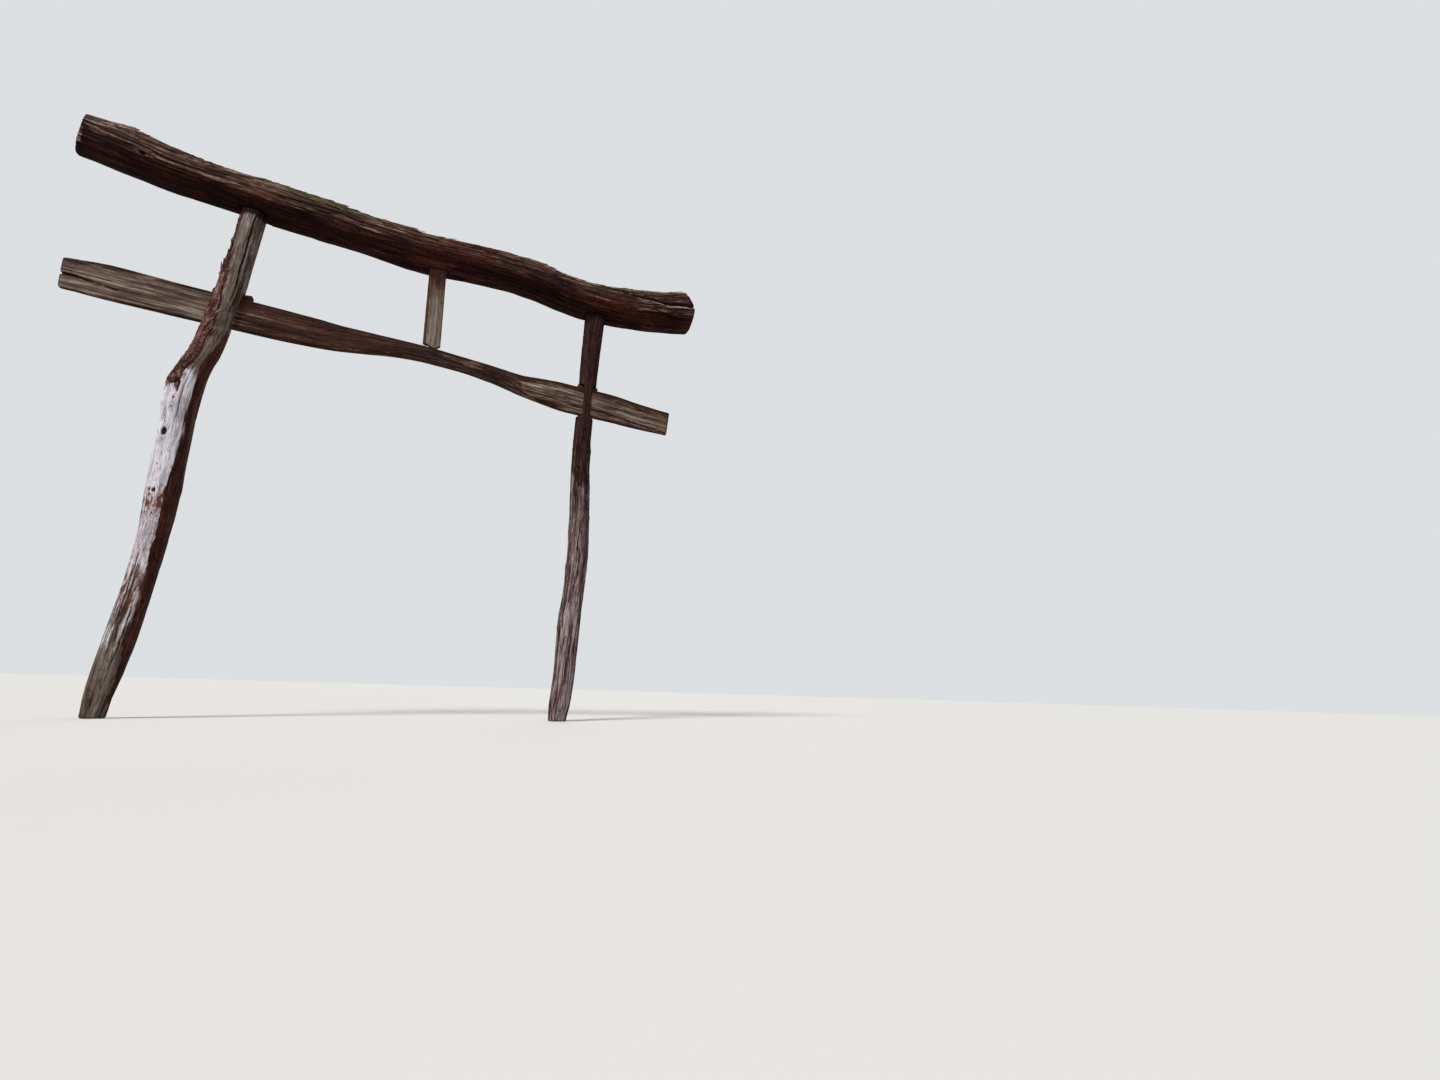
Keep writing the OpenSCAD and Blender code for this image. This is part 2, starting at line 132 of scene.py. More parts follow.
def wander(s, size, seed):
    """Smooth noise that changes along a piece only."""
    return noise(s / size, s * 0, s * 0, seed)


def ridged(values):
    """Noise turned into sharp raised lines where it crosses zero."""
    return 1 - np.abs(values) * 2


def rough(x, y, z, seed=0, octaves=3):
    """Noise with finer and finer noise on top."""
    total, size = 0, 1.0
    for n in range(octaves):
        total = total + size * noise(x * 2 ** n, y * 2 ** n, z * 2 ** n, seed + 17 * n)
        size *= 0.5
    return total / 1.75


def strips(around, along, count, seed):
    """Long bark strips side by side. around runs from 0 to 1 round the log.
    Returns how far a point is from its strip's seam and the strip's own number."""
    u, v = np.broadcast_arrays(around * count, along)
    i, j = np.floor(u), np.floor(v)
    near = np.full(u.shape, 9.0)
    second = np.full(u.shape, 9.0)
    own = np.zeros(u.shape)
    for di in (-1, 0, 1):
        for dj in (-1, 0, 1):
            ci, cj = (i + di) % count, j + dj
            pu = i + di + 0.5 + 0.7 * (scatter(ci, cj, ci * 0, seed) - 0.5)
            pv = cj + 0.5 + 0.9 * (scatter(ci, cj, ci * 0, seed + 1) - 0.5)
            d = np.hypot(u - pu, v - pv)
            nearer = d < near
            second = np.where(nearer, near, np.minimum(second, d))
            own = np.where(nearer, scatter(ci, cj, ci * 0, seed + 2), own)
            near = np.where(nearer, d, near)
    return second - near, own


# Rows of values

def resample(values, at):
    """Smooth curve through rows of values, read at places given in rows."""
    last = len(values) - 1
    i = np.clip(np.floor(at).astype(int), 0, last - 1)
    t = (at - i).reshape((-1,) + (1,) * (values.ndim - 1))
    a, b = values[np.maximum(i - 1, 0)], values[i]
    c, d = values[i + 1], values[np.minimum(i + 2, last)]
    return b + 0.5 * t * (c - a + t * (2 * a - 5 * b + 4 * c - d + t * (3 * (b - c) + d - a)))


def with_ends(values, reach, ring):
    """Rows with more before and after them: those of the other end where they form a
    ring, and else mirrored ones that run straight on."""
    if ring:
        return np.concatenate([values[-reach:], values, values[:reach]])
    first = 2 * values[:1] - values[1:reach + 1][::-1]
    last = 2 * values[-1:] - values[-reach - 1:-1][::-1]
    return np.concatenate([first, values, last])


def blur(values, sigma, ring):
    """Softened along the first axis."""
    reach = max(1, int(3 * sigma))
    weights = np.exp(-0.5 * (np.arange(-reach, reach + 1) / sigma) ** 2)
    weights /= weights.sum()
    longer = with_ends(values, reach, ring)
    return sum(w * longer[n:n + len(values)] for n, w in enumerate(weights))


def steadied(values, reach, ring):
    """A running median, which leaves out single odd readings."""
    longer = with_ends(values, reach, ring)
    return np.array([np.median(longer[n:n + 2 * reach + 1]) for n in range(len(values))])


def filled(column):
    """A column of readings whose gaps are bridged in a straight line."""
    good = np.isfinite(column)
    places = np.arange(len(column))
    return np.interp(places, places[good], column[good])


# Shapes measured on the CAD nodes

def surface_of(node, back=None):
    """A node's surface, for rays to meet, and its corners, turned back where it leans."""
    mesh = NODES[node].data
    corners = [back @ v.co if back else v.co for v in mesh.vertices]
    return BVHTree.FromPolygons(corners, [tuple(f.vertices) for f in mesh.polygons]), corners


def ray(surface, start, way):
    """The first place that a ray meets, or None."""
    return surface.ray_cast(Vector(start), Vector(way))[0]


class Reading:
    """Rings read off a CAD node by rays that aim at a line inside it, or at a flat core
    whose direction is given. s runs along the piece, p and q across it. cuts are
    stretches, and turns within them, that are bridged over. trim is how far the
    slanting cuts reach in from both ends."""

    def __init__(self, node, axis, count, low, high, every=0.02, core=None, lean=None,
                 cuts=(), soften=2.5, trim=(0.0, 0.0)):
        self.axis, self.across = axis, ((axis + 1) % 3, (axis + 2) % 3)
        self.tree, corners = surface_of(node, lean.inverted() if lean else None)
        self.points = np.array(corners)
        self.low, self.high, self.trim = low, high, trim
        self.s = np.linspace(low, high, max(6, int((high - low) / every) + 1))
        self.count, self.core = count, core
        self.middle = self.find_middle()
        self.rings = self.find_rings(cuts, soften)

    def place(self, s, p, q):
        at = [0.0, 0.0, 0.0]
        at[self.axis], at[self.across[0]], at[self.across[1]] = s, p, q
        return Vector(at)

    def hit(self, start, towards):
        return self.tree.ray_cast(start, (towards - start).normalized())[0]

    def clear_of_ends(self):
        """Which stations lie clear of the slanting cuts at the two ends."""
        return (self.s >= self.low + self.trim[0]) & (self.s <= self.high - self.trim[1])

    def find_middle(self):
        """A steady line through the piece, halfway between its sides. It runs straight
        on where a slanting cut spoils the readings."""
        p, q = self.across
        rows = []
        spread = self.points.max(0) - self.points.min(0)
        centre = (self.points.max(0) + self.points.min(0)) / 2
        far = float(max(spread[p], spread[q]))
        near = (centre[p], centre[q])
        for s in np.clip(self.s, self.low + END_CLEAR, self.high - END_CLEAR):
            found = [np.nan, np.nan]
            for _ in range(2):
                for n, (dp, dq) in enumerate(((far, 0), (0, far))):
                    mid = self.place(s, near[0], near[1])
                    a = self.hit(self.place(s, near[0] + dp, near[1] + dq), mid)
                    b = self.hit(self.place(s, near[0] - dp, near[1] - dq), mid)
                    if a is not None and b is not None:
                        found[n] = (a[self.across[n]] + b[self.across[n]]) / 2
                near = tuple(f if np.isfinite(f) else o for f, o in zip(found, near))
            rows.append(found)
        inside = self.clear_of_ends()
        rows = np.array(rows)[inside]
        for n in (0, 1):
            rows[:, n] = steadied(filled(rows[:, n]), min(7, (len(rows) - 1) // 2), False)
        rows = blur(rows, min(3.0, len(rows) / 8), False)
        reach = min(6, len(rows) - 1)
        places = np.arange(len(self.s))
        out = np.stack([np.interp(places, places[inside], rows[:, n]) for n in (0, 1)], 1)
        first, last = places[inside][0], places[inside][-1]
        before, after = places < first, places > last
        out[before] = rows[0] + (places[before] - first)[:, None] * (rows[reach] - rows[0]) / reach
        out[after] = rows[-1] + (places[after] - last)[:, None] * (rows[-1] - rows[-1 - reach]) / reach
        return out

    def aims(self, k):
        """Start and aim of each ray of ring k, in p and q."""
        centre = self.middle[k]
        if not self.core:
            a = 2 * np.pi * np.arange(self.count) / self.count
            way = np.stack([np.cos(a), np.sin(a)], 1)
            return centre + way * OUTSIDE, np.repeat(centre[None], self.count, 0)
        half = self.core_at(k)
        fan = self.count // 6
        flat = self.count // 2 - fan
        rise = np.linspace(-1, 1, flat)[:, None] * half[None]
        side = np.array([half[1], -half[0]])
        side = side / max(1e-9, np.hypot(*side))
        turn = np.pi * (np.arange(fan) + 1) / (fan + 1)
        up = half / max(1e-9, np.hypot(*half))
        arc = np.cos(turn)[:, None] * side + np.sin(turn)[:, None] * up
        aim = np.concatenate([rise, np.repeat(half[None], fan, 0), rise[::-1],
                              np.repeat(-half[None], fan, 0)])
        way = np.concatenate([np.repeat(side[None], flat, 0), arc,
                              np.repeat(-side[None], flat, 0), -arc])
        return centre + aim + way * OUTSIDE, centre + aim

    def core_at(self, k):
        """Half of the flat core of ring k: from its middle to its upper end. The ring's
        middle moves to the core's. Where rays miss, the last ring's core serves again."""
        p, q = self.across
        s = float(np.clip(self.s[k], self.low + END_CLEAR, self.high - END_CLEAR))
        mid = self.place(s, *self.middle[k])
        tall = np.array(self.core, float)
        reach = self.place(0, *(tall * OUTSIDE))
        thin = self.place(0, *(np.array([tall[1], -tall[0]]) * OUTSIDE))
        top, low, left, right = (self.hit(mid + off, mid) for off in (reach, -reach, thin, -thin))
        if None in (top, low, left, right):
            return self.last_half
        height = (top - low).length / 2 - (left - right).length / 2 * 0.9
        shift = (top + low) / 2 - mid
        self.middle[k] += np.array([shift[p], shift[q]])
        self.last_half = tall / np.hypot(*tall) * max(height, 1 * MM)
        return self.last_half

    def find_rings(self, cuts, soften):
        """Rings of the stations that lie clear of the ends. Those close to the ends
        repeat the shape a little further in, because rays there can miss or meet the cut."""
        p, q = self.across
        inside = np.where(self.clear_of_ends())[0]
        out = np.full((len(inside), self.count), np.nan)
        goals, ways = [], []
        for row, k in enumerate(inside):
            s = float(np.clip(self.s[k], self.low + RIM_CLEAR, self.high - RIM_CLEAR))
            start, goal = self.aims(k)
            way = start - goal
            goals.append(goal)
            ways.append(way / np.linalg.norm(way, axis=1, keepdims=True))
            for n in range(self.count):
                found = self.hit(self.place(s, *start[n]), self.place(s, *goal[n]))
                if found is not None:
                    out[row, n] = math.hypot(found[p] - goal[n][0], found[q] - goal[n][1])
            if not self.core and np.isfinite(out[row]).any():
                usual = np.nanmedian(out[row])
                bad = (out[row] < ODD_RADIUS[0] * usual) | (out[row] > ODD_RADIUS[1] * usual)
                out[row][bad] = np.nan
            for low, high, first, last in cuts:
                if low < s < high:
                    turn = 360.0 * np.arange(self.count) / self.count
                    out[row][(turn > first) & (turn < last)] = np.nan
        for n in range(self.count):
            if np.isfinite(out[:, n]).sum() > 1:
                out[:, n] = filled(out[:, n])
        out = blur(out.T, soften, True).T
        rings = np.array(goals) + np.array(ways) * out[..., None]
        near = np.clip(np.arange(len(self.s)), inside[0], inside[-1])
        return rings[near - inside[0]] - self.middle[near][:, None] + self.middle[:, None]

    def end_at(self, low_end, places):
        """Where the cut at one end lies, for a ring of places across the piece."""
        s = self.low if low_end else self.high
        outside = s - OUTSIDE if low_end else s + OUTSIDE
        out = np.full(len(places), np.nan)
        for n, (p, q) in enumerate(places):
            found = self.hit(self.place(outside, p, q), self.place(s, p, q))
            if found is not None and abs(found[self.axis] - s) < SLANT:
                out[n] = found[self.axis]
        if not np.isfinite(out).any():
            return np.full(len(places), s)
        return steadied(filled(out), 6, True)


class Skin:
    """A fine grid over a reading. s, rel, radius and degrees are the straightened
    coordinates of its points, and out is the way in which each may move. walls are
    places along it where a cut starts or ends, and shift moves points along it."""

    def __init__(self, reading, rows, walls=(), cut_ends=False, fade=0.3, shift=None):
        r = self.reading = reading
        low, high = r.low, r.high
        share = np.linspace(0, 1, rows)
        tiny = WALL_GAP / (high - low)
        for wall in walls:
            at = (wall - low) / (high - low)
            share = np.append(share, [at - tiny, at + tiny])
        self.nominal = low + (high - low) * np.sort(share)
        at = (self.nominal - r.s[0]) / (r.s[-1] - r.s[0]) * (len(r.s) - 1)
        at = np.clip(at, 0, len(r.s) - 1)
        self.pq = resample(r.rings, at)
        self.mid = resample(r.middle, at)[:, None, :]
        self.from_low = self.nominal[:, None] - low
        self.from_high = high - self.nominal[:, None]
        self.from_rim = np.minimum(self.from_low, self.from_high)
        self.s = np.repeat(self.nominal[:, None], r.count, 1)
        self.cut_ends = cut_ends
        if cut_ends:
            for row, from_end in ((0, self.from_low), (-1, self.from_high)):
                near = 1 - ease(np.clip(from_end / fade, 0, 1))
                rim = (self.pq[row] - self.mid[row]) * IN_RIM
                cut = r.end_at(row == 0, self.mid[row] + rim)
                self.s = self.s + near * (cut - self.nominal[row])[None]
        if shift is not None:
            self.s = self.s + shift(self)
        if cut_ends:
            self.pull_in(0.25)
        self.rel = self.pq - self.mid
        self.radius = np.linalg.norm(self.rel, axis=2)
        self.degrees = np.degrees(np.arctan2(self.rel[..., 1], self.rel[..., 0]) % (2 * np.pi))
        self.grain = np.concatenate([self.s[..., None], self.rel], 2)
        self.out = self.outward()

    def pull_in(self, reach):
        """Points close to an end that lie past a cut come back to its surface."""
        r = self.reading
        for row in np.where(self.from_rim[:, 0] < reach)[0]:
            for n in range(r.count):
                at = r.place(self.s[row, n], *self.pq[row, n])
                spot, normal = r.tree.find_nearest(at)[:2]
                if (at - spot).dot(normal) > 0.5 * MM:
                    self.s[row, n] = spot[r.axis]
                    self.pq[row, n] = spot[r.across[0]], spot[r.across[1]]

    def outward(self):
        along = np.roll(self.pq, -1, 1) - np.roll(self.pq, 1, 1)
        out = np.stack([along[..., 1], -along[..., 0]], 2)
        return out / np.maximum(np.linalg.norm(out, axis=2, keepdims=True), 1e-9)

    def moved(self, height):
        """Points of the grid after moving outward by a height in metres."""
        r = self.reading
        points = np.zeros(self.s.shape + (3,))
        points[..., r.axis] = self.s
        points[..., r.across] = self.pq + self.out * height[..., None]
        return points

    def mottle(self, along, across, seed, up=None):
        """Smooth noise over the skin, with the size of its spots in metres."""
        return noise(self.s / along, self.rel[..., 0] / across, self.rel[..., 1] / (up or across), seed)

    def grit(self, along, across, seed):
        """Rough noise over the skin, with the size of its spots in metres."""
        return rough(self.s / along, self.rel[..., 0] / across, self.rel[..., 1] / across, seed)


# Relief that the pieces share

def turned(deg, line):
    """Degrees from a direction to another round a log, from -180 to 180."""
    return (deg - line + 540) % 360 - 180


def edge_at(path, s):
    """Degrees of an edge given as (place along, degrees), at every place."""
    return np.interp(s, [place for place, deg in path], [deg for place, deg in path])


def turned_past(skin, line, soft):
    """1 for points past a line of degrees (rising), 0 before it."""
    return step(-soft, soft, turned(skin.degrees, line))


def groove(skin, path, width, depth, open_high=False):
    """A drying crack along a path of (place along, degrees round): a sharp V that
    thins away at both ends, or at one where it runs out through the high end."""
    path = sorted(path)
    low, high = path[0][0], path[-1][0]
    s = skin.s
    line = edge_at(path, s) + 2.2 * wander(s, 0.05, 91) + 0.8 * wander(s, 0.015, 92)
    away = np.radians(turned(skin.degrees, line)) * skin.radius
    taper = 0.35 * (high - low)
    full = np.minimum(np.clip((s - low) / taper, 0, 1),
                      1 if open_high else np.clip((high - s) / taper, 0, 1))
    full = np.where((s >= low) & (s <= high), np.sqrt(full), 0.0)
    return -depth * full * np.clip(1 - np.abs(away) / (width * full + 1e-6), 0, 1) ** 0.8


def cracked(skin, height, cracks):
    """A height with a table of cracks cut in: path, width and depth in millimetres."""
    for path, width, depth in cracks:
        height = height + groove(skin, path, width * MM, depth * MM)
    return height


def knotted(skin, height, knots):
    """A height with a table of knots, and where their dark hearts are. Each is a
    swelling with a ring and a hollow heart: its place along, its turn, and its size,
    rise and hollow in millimetres."""
    hearts = 0
    for at, turn, size, rise, hollow in knots:
        away = np.radians(turned(skin.degrees, turn)) * skin.radius
        d = np.hypot((skin.s - at) / 1.5, away) / (size * MM)
        swell = rise * MM * np.exp(-(d / 1.5) ** 2)
        heart = -hollow * MM * np.exp(-(d / 0.42) ** 4)
        ring = 0.35 * rise * MM * close_to(0.75, 0.22, d)
        height = height + (swell + heart + ring)
        hearts = hearts + min(0.9, hollow / 6) * np.exp(-(d / 0.5) ** 3)
    return height, np.clip(hearts, 0, 1)


def rim_round(size, from_rim):
    """Rounds a rim: how far the skin sinks near it."""
    t = np.clip(1 - from_rim / size, 0, 1)
    return -size * (1 - np.sqrt(1 - 0.97 * t * t))


def bark_relief(skin, seed, strip_wide, strip_long, big, small):
    """Fibrous bark: flutes, strips with seams, and strands."""
    s = skin.s
    sway = 0.10 * wander(s, 0.5, seed) + 0.05 * skin.mottle(0.16, 0.05, seed + 1)
    round_log = np.arange(skin.reading.count)[None] / skin.reading.count + sway * 0.12
    girth = 2 * np.pi * skin.radius.mean()
    count = int(round(girth / strip_wide))
    seam, own = strips(round_log % 1.0, s / strip_long, count, seed + 2)
    fine_seam, fine_own = strips((round_log + 0.013) % 1.0, s / (strip_long * 0.6), count * 2, seed + 5)
    p = np.cos(2 * np.pi * round_log) * skin.radius.mean()
    q = np.sin(2 * np.pi * round_log) * skin.radius.mean()
    flutes = noise(s / 0.6, p / 0.05, q / 0.05, seed + 8)
    strands = ridged(noise(s / 0.14, p / 0.011, q / 0.011, seed + 9))
    frayed = rough(s / 0.05, p / 0.012, q / 0.012, seed + 11)
    return (big * (0.8 * flutes + 0.9 * (own - 0.5)) - big * (1 - step(0.0, 0.34, seam))
            + small * (0.9 * (fine_own - 0.5) - 0.8 * (1 - step(0.0, 0.3, fine_seam)))
            + small * 0.8 * strands + small * 0.5 * frayed)


def grooves_to_ridges(low, high, height):
    """The relief mask: 0 in the grooves and 1 on the ridges."""
    return np.clip((height - low) / (high - low), 0, 1)


# Meshes

MASKS = ("relief", "bark", "pale", "damp", "red", "moss")
BODY, SAWN_END = 0, 1


def painted(like, **given):
    """Masks from 0 to 1 for every place of a grid. One that isn't given is blank."""
    given = {**dict.fromkeys(MASKS, 0.0), **given}
    return {key: np.clip(value + 0 * like, 0, 1) for key, value in given.items()}


def points_of(mesh):
    co = np.zeros(len(mesh.vertices) * 3, np.float32)
    mesh.vertices.foreach_get("co", co)
    return co.reshape(-1, 3)


def store(mesh, name, values):
    """A point attribute: one number or three for each vertex."""
    if name in mesh.attributes:
        mesh.attributes.remove(mesh.attributes[name])
    kind, field = ("FLOAT", "value") if values.ndim == 1 else ("FLOAT_VECTOR", "vector")
    kept = mesh.attributes.new(name, kind, "POINT")
    kept.data.foreach_set(field, values.astype(np.float32).reshape(-1))


def add_object(name, mesh):
    piece = bpy.data.objects.new(name, mesh)
    bpy.context.scene.collection.objects.link(piece)
    return piece


def build(name, points, masks, grain, material, caps=(), end_material=None, closing=None):
    """A closed mesh from rings of points. caps holds, for each end, rings that run
    inward from the rim, and closing more faces of four corners. Masks and grain are
    kept as point attributes."""
    rows, count = points.shape[:2]
    verts, grains = [points.reshape(-1, 3)], [grain.reshape(-1, 3)]
    values = {key: [grid.reshape(-1)] for key, grid in masks.items()}
    quads, tris, kinds = [], [np.zeros((0, 3), int)], []
    j = np.arange(count)
    k = (j + 1) % count

    def band(a, b, kind):
        quads.append(np.stack([a + j, a + k, b + k, b + j], 1))
        kinds.append(np.full(count, kind))

    for i in range(rows - 1):
        band(i * count, (i + 1) * count, BODY)
    if closing is not None:
        quads.append(closing)
        kinds.append(np.full(len(closing), BODY))
    base = rows * count
    for low_end, rings, ring_masks, ring_grain, heart, heart_grain in caps:
        edge = 0 if low_end else (rows - 1) * count
        for n in range(len(rings)):
            here = base + n * count
            if low_end:
                band(here, edge, SAWN_END)
            else:
                band(edge, here, SAWN_END)
            edge = here
        verts += [rings.reshape(-1, 3), heart.reshape(1, 3)]
        grains += [ring_grain.reshape(-1, 3), heart_grain.reshape(1, 3)]
        for key in values:
            ring_values = ring_masks[key].reshape(-1)
            values[key] += [ring_values, ring_values[-1:]]
        middle = base + len(rings) * count
        first, second = (k, j) if low_end else (j, k)
        tris.append(np.stack([edge + first, edge + second, np.full(count, middle)], 1))
        base = middle + 1
    verts, quads, tris = np.concatenate(verts), np.concatenate(quads), np.concatenate(tris)
    kinds = np.concatenate(kinds + [np.full(len(tris), SAWN_END)])
    if end_material is None:
        kinds[:] = BODY
    corners = np.concatenate([quads.reshape(-1), tris.reshape(-1)])
    starts = np.concatenate([np.arange(len(quads)) * 4, len(quads) * 4 + np.arange(len(tris)) * 3])
    mesh = bpy.data.meshes.new(name)
    mesh.vertices.add(len(verts))
    mesh.vertices.foreach_set("co", verts.astype(np.float32).reshape(-1))
    mesh.loops.add(len(corners))
    mesh.loops.foreach_set("vertex_index", corners.astype(np.int32))
    mesh.polygons.add(len(starts))
    mesh.polygons.foreach_set("loop_start", starts.astype(np.int32))
    mesh.polygons.foreach_set("material_index", kinds.astype(np.int32))
    mesh.update(calc_edges=True)
    mesh.validate()
    for key in values:
        store(mesh, key, np.concatenate(values[key]))
    store(mesh, "grain", np.concatenate(grains))
    mesh.materials.append(material)
    if end_material is not None:
        mesh.materials.append(end_material)
    mesh.polygons.foreach_set("use_smooth", np.ones(len(mesh.polygons), bool))
    return add_object(name, mesh)


def end_cap(skin, points, masks, low_end, rings, dish, **tones):
    """Rings that close an end, in plain tones. dish gives metres inward for a share of
    the radius, an angle in degrees and a radius."""
    r = skin.reading
    row = 0 if low_end else -1
    rim = points[row]
    centre = rim.mean(0)
    out_rings, out_grain = [], []
    for n in range(1, rings + 1):
        share = 1 - n / (rings + 1.0)
        rel = skin.rel[row] * share
        ring = centre + (rim - centre) * share
        if skin.cut_ends:
            ring[:, r.axis] = r.end_at(low_end, skin.mid[row] + rel * IN_RIM)
        if dish:
            deep = dish(share, skin.degrees[row], skin.radius[row] * share)
            ring[:, r.axis] += deep if low_end else -deep
        out_rings.append(ring)
        out_grain.append(np.concatenate([np.zeros((len(rel), 1)), rel], 1))
    ring_masks = {key: np.full((rings, len(rim)), tones.get(key, 0.0)) for key in masks}
    return (low_end, np.array(out_rings), ring_masks, np.array(out_grain),
            out_rings[-1].mean(0), np.zeros(3))


def both_ends(skin, points, masks, rings, dish=None, **tones):
    return [end_cap(skin, points, masks, low_end, rings, dish, **tones) for low_end in (True, False)]


def made_plain(piece, modifier):
    """Turns a piece with a live modifier into a plain mesh."""
    bpy.context.view_layer.update()
    graph = bpy.context.evaluated_depsgraph_get()
    plain = bpy.data.meshes.new_from_object(piece.evaluated_get(graph), depsgraph=graph,
                                            preserve_all_data_layers=True)
    piece.modifiers.remove(modifier)
    old, piece.data = piece.data, plain
    bpy.data.meshes.remove(old)
    return plain


def finish_piece(piece, node):
    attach(piece, "root")
    if node:
        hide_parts(node)


# Materials

class Sketch:
    """Short ways to place and join nodes in a tree."""

    def __init__(self, tree):
        self.tree = tree

    def node(self, kind, **settings):
        made = self.tree.nodes.new(kind)
        for key, value in settings.items():
            setattr(made, key, value)
        return made

    def feed(self, socket, value):
        if isinstance(value, bpy.types.NodeSocket):
            self.tree.links.new(value, socket)
        else:
            socket.default_value = value

    def fed(self, made, values):
        """Feeds a node's sockets, by number or by name, and gives its first output."""
        for key, value in values.items():
            self.feed(made.inputs[key], value)
        return made.outputs[0]

    def math(self, operation, a, b=0.5, c=None):
        values = {0: a, 1: b} if c is None else {0: a, 1: b, 2: c}
        return self.fed(self.node("ShaderNodeMath", operation=operation), values)

    def weighted(self, *parts):
        """Sum of values, each times its own share."""
        value, share = parts[0]
        total = self.math("MULTIPLY", value, share)
        for value, share in parts[1:]:
            total = self.math("MULTIPLY_ADD", value, share, total)
        return total

    def vector(self, operation, a, b):
        return self.fed(self.node("ShaderNodeVectorMath", operation=operation), {0: a, 1: b})

    def scaled(self, vector, by):
        return self.fed(self.node("ShaderNodeVectorMath", operation="SCALE"), {0: vector, "Scale": by})

    def combine(self, x=0.0, y=0.0, z=0.0):
        return self.fed(self.node("ShaderNodeCombineXYZ"), {0: x, 1: y, 2: z})

    def noise(self, vector, scale, detail, rough):
        return self.fed(self.node("ShaderNodeTexNoise"),
                        {"Vector": vector, "Scale": scale, "Detail": detail, "Roughness": rough})

    def edges(self, vector, scale):
        made = self.node("ShaderNodeTexVoronoi", feature="DISTANCE_TO_EDGE")
        self.fed(made, {"Vector": vector, "Scale": scale})
        return made.outputs["Distance"]

    def mix(self, share, a, b):
        made = self.node("ShaderNodeMix", data_type="RGBA", blend_type="MIX")
        self.fed(made, {0: share, 6: a, 7: b})
        return made.outputs[2]

    def range(self, value, low, high, to_low=0.0, to_high=1.0):
        return self.fed(self.node("ShaderNodeMapRange", interpolation_type="SMOOTHSTEP"),
                        {0: value, 1: low, 2: high, 3: to_low, 4: to_high})

    def kept(self, name, output="Fac"):
        """A point attribute of the piece."""
        return self.node("ShaderNodeAttribute", attribute_name=name).outputs[output]

    def placed(self, tree, **values):
        """A node group with its own values, which reads the piece's grain."""
        made = self.node("ShaderNodeGroup")
        made.node_tree = tree
        self.fed(made, {"Grain": self.kept("grain", "Vector"), **values})
        return made.outputs

    def bump(self, height, strength, distance):
        return self.fed(self.node("ShaderNodeBump"),
                        {"Strength": strength, "Distance": distance, "Height": height})


def group(name, inputs, outputs):
    """An empty group of number outputs, with the sockets at its two ends."""
    tree = bpy.data.node_groups.new(name, "ShaderNodeTree")
    for label, kind, value in inputs:
        socket = tree.interface.new_socket(label, in_out="INPUT", socket_type=kind)
        if value is not None:
            socket.default_value = value
    for label in outputs:
        tree.interface.new_socket(label, in_out="OUTPUT", socket_type="NodeSocketFloat")
    s = Sketch(tree)
    return s, s.node("NodeGroupInput").outputs, s.node("NodeGroupOutput").inputs


def fibre_group():
    """Patterns of wood and bark fibres: values only."""
    s, ins, outs = group("Fibres", [("Grain", "NodeSocketVector", None),
                                    ("Stretch", "NodeSocketFloat", 16.0),
                                    ("Size", "NodeSocketFloat", 1.0)],
                         ("Streak", "Fine", "Band", "Blotch", "Lines", "Fleck"))
    grain = ins["Grain"]
    sway = s.node("ShaderNodeTexNoise")
    s.fed(sway, {"Vector": grain, "Scale": 3.2, "Detail": 2.0})
    shift = s.vector("MULTIPLY", s.vector("SUBTRACT", sway.outputs["Color"], (0.5, 0.5, 0.5)),
                     (0.0, 0.035, 0.035))
    bent = s.vector("ADD", grain, shift)
    shorter = s.math("DIVIDE", 1.0, ins["Stretch"])
    long = s.scaled(s.vector("MULTIPLY", bent, s.combine(shorter, 1.0, 1.0)), ins["Size"])
    s.feed(outs["Band"], s.range(s.noise(long, 27.0, 3.0, 0.6), 0.38, 0.62))
    s.feed(outs["Streak"], s.range(s.noise(long, 85.0, 4.0, 0.62), 0.38, 0.62))
    s.feed(outs["Fine"], s.range(s.noise(long, 380.0, 4.0, 0.65), 0.36, 0.64))
    s.feed(outs["Blotch"], s.range(s.noise(grain, 9.0, 3.0, 0.6), 0.38, 0.62))
    s.feed(outs["Lines"], s.range(s.edges(long, 150.0), 0.0, 0.09))
    short = s.vector("MULTIPLY", bent, (0.33, 1.0, 1.0))
    s.feed(outs["Fleck"], s.range(s.noise(short, 120.0, 4.0, 0.7), 0.46, 0.60))
    return s.tree


def rings_group():
    """End grain: growth rings and rays round the heart, values only."""
    s, ins, outs = group("End grain", [("Grain", "NodeSocketVector", None)],
                         ("Rings", "Grime", "Rays"))
    flat = s.vector("MULTIPLY", ins["Grain"], (0.0, 1.0, 1.0))
    length = s.node("ShaderNodeVectorMath", operation="LENGTH")
    s.feed(length.inputs[0], flat)
    wobble = s.noise(flat, 22.0, 2.0, 0.5)
    far = s.math("MULTIPLY_ADD", wobble, 0.02, length.outputs["Value"])
    wave = s.math("SINE", s.math("MULTIPLY", far, 2200.0))
    s.feed(outs["Rings"], s.range(wave, -0.9, 0.8))
    s.feed(outs["Grime"], s.range(s.noise(flat, 30.0, 4.0, 0.65), 0.35, 0.65))
    s.feed(outs["Rays"], s.range(s.edges(flat, 60.0), 0.0, 0.06))
    return s.tree


FIBRES = fibre_group()
RINGS = rings_group()


def srgb(r, g, b):
    """A colour written from 0 to 255 as it looks, in the linear form used here."""
    def plain(v):
        v = v / 255.0
        return v / 12.92 if v <= 0.04045 else ((v + 0.055) / 1.055) ** 2.4
    return (plain(r), plain(g), plain(b), 1.0)


def new_material(name):
    material = bpy.data.materials.new(name)
    material.use_nodes = True
    return material, Sketch(material.node_tree), material.node_tree.nodes["Principled BSDF"].inputs


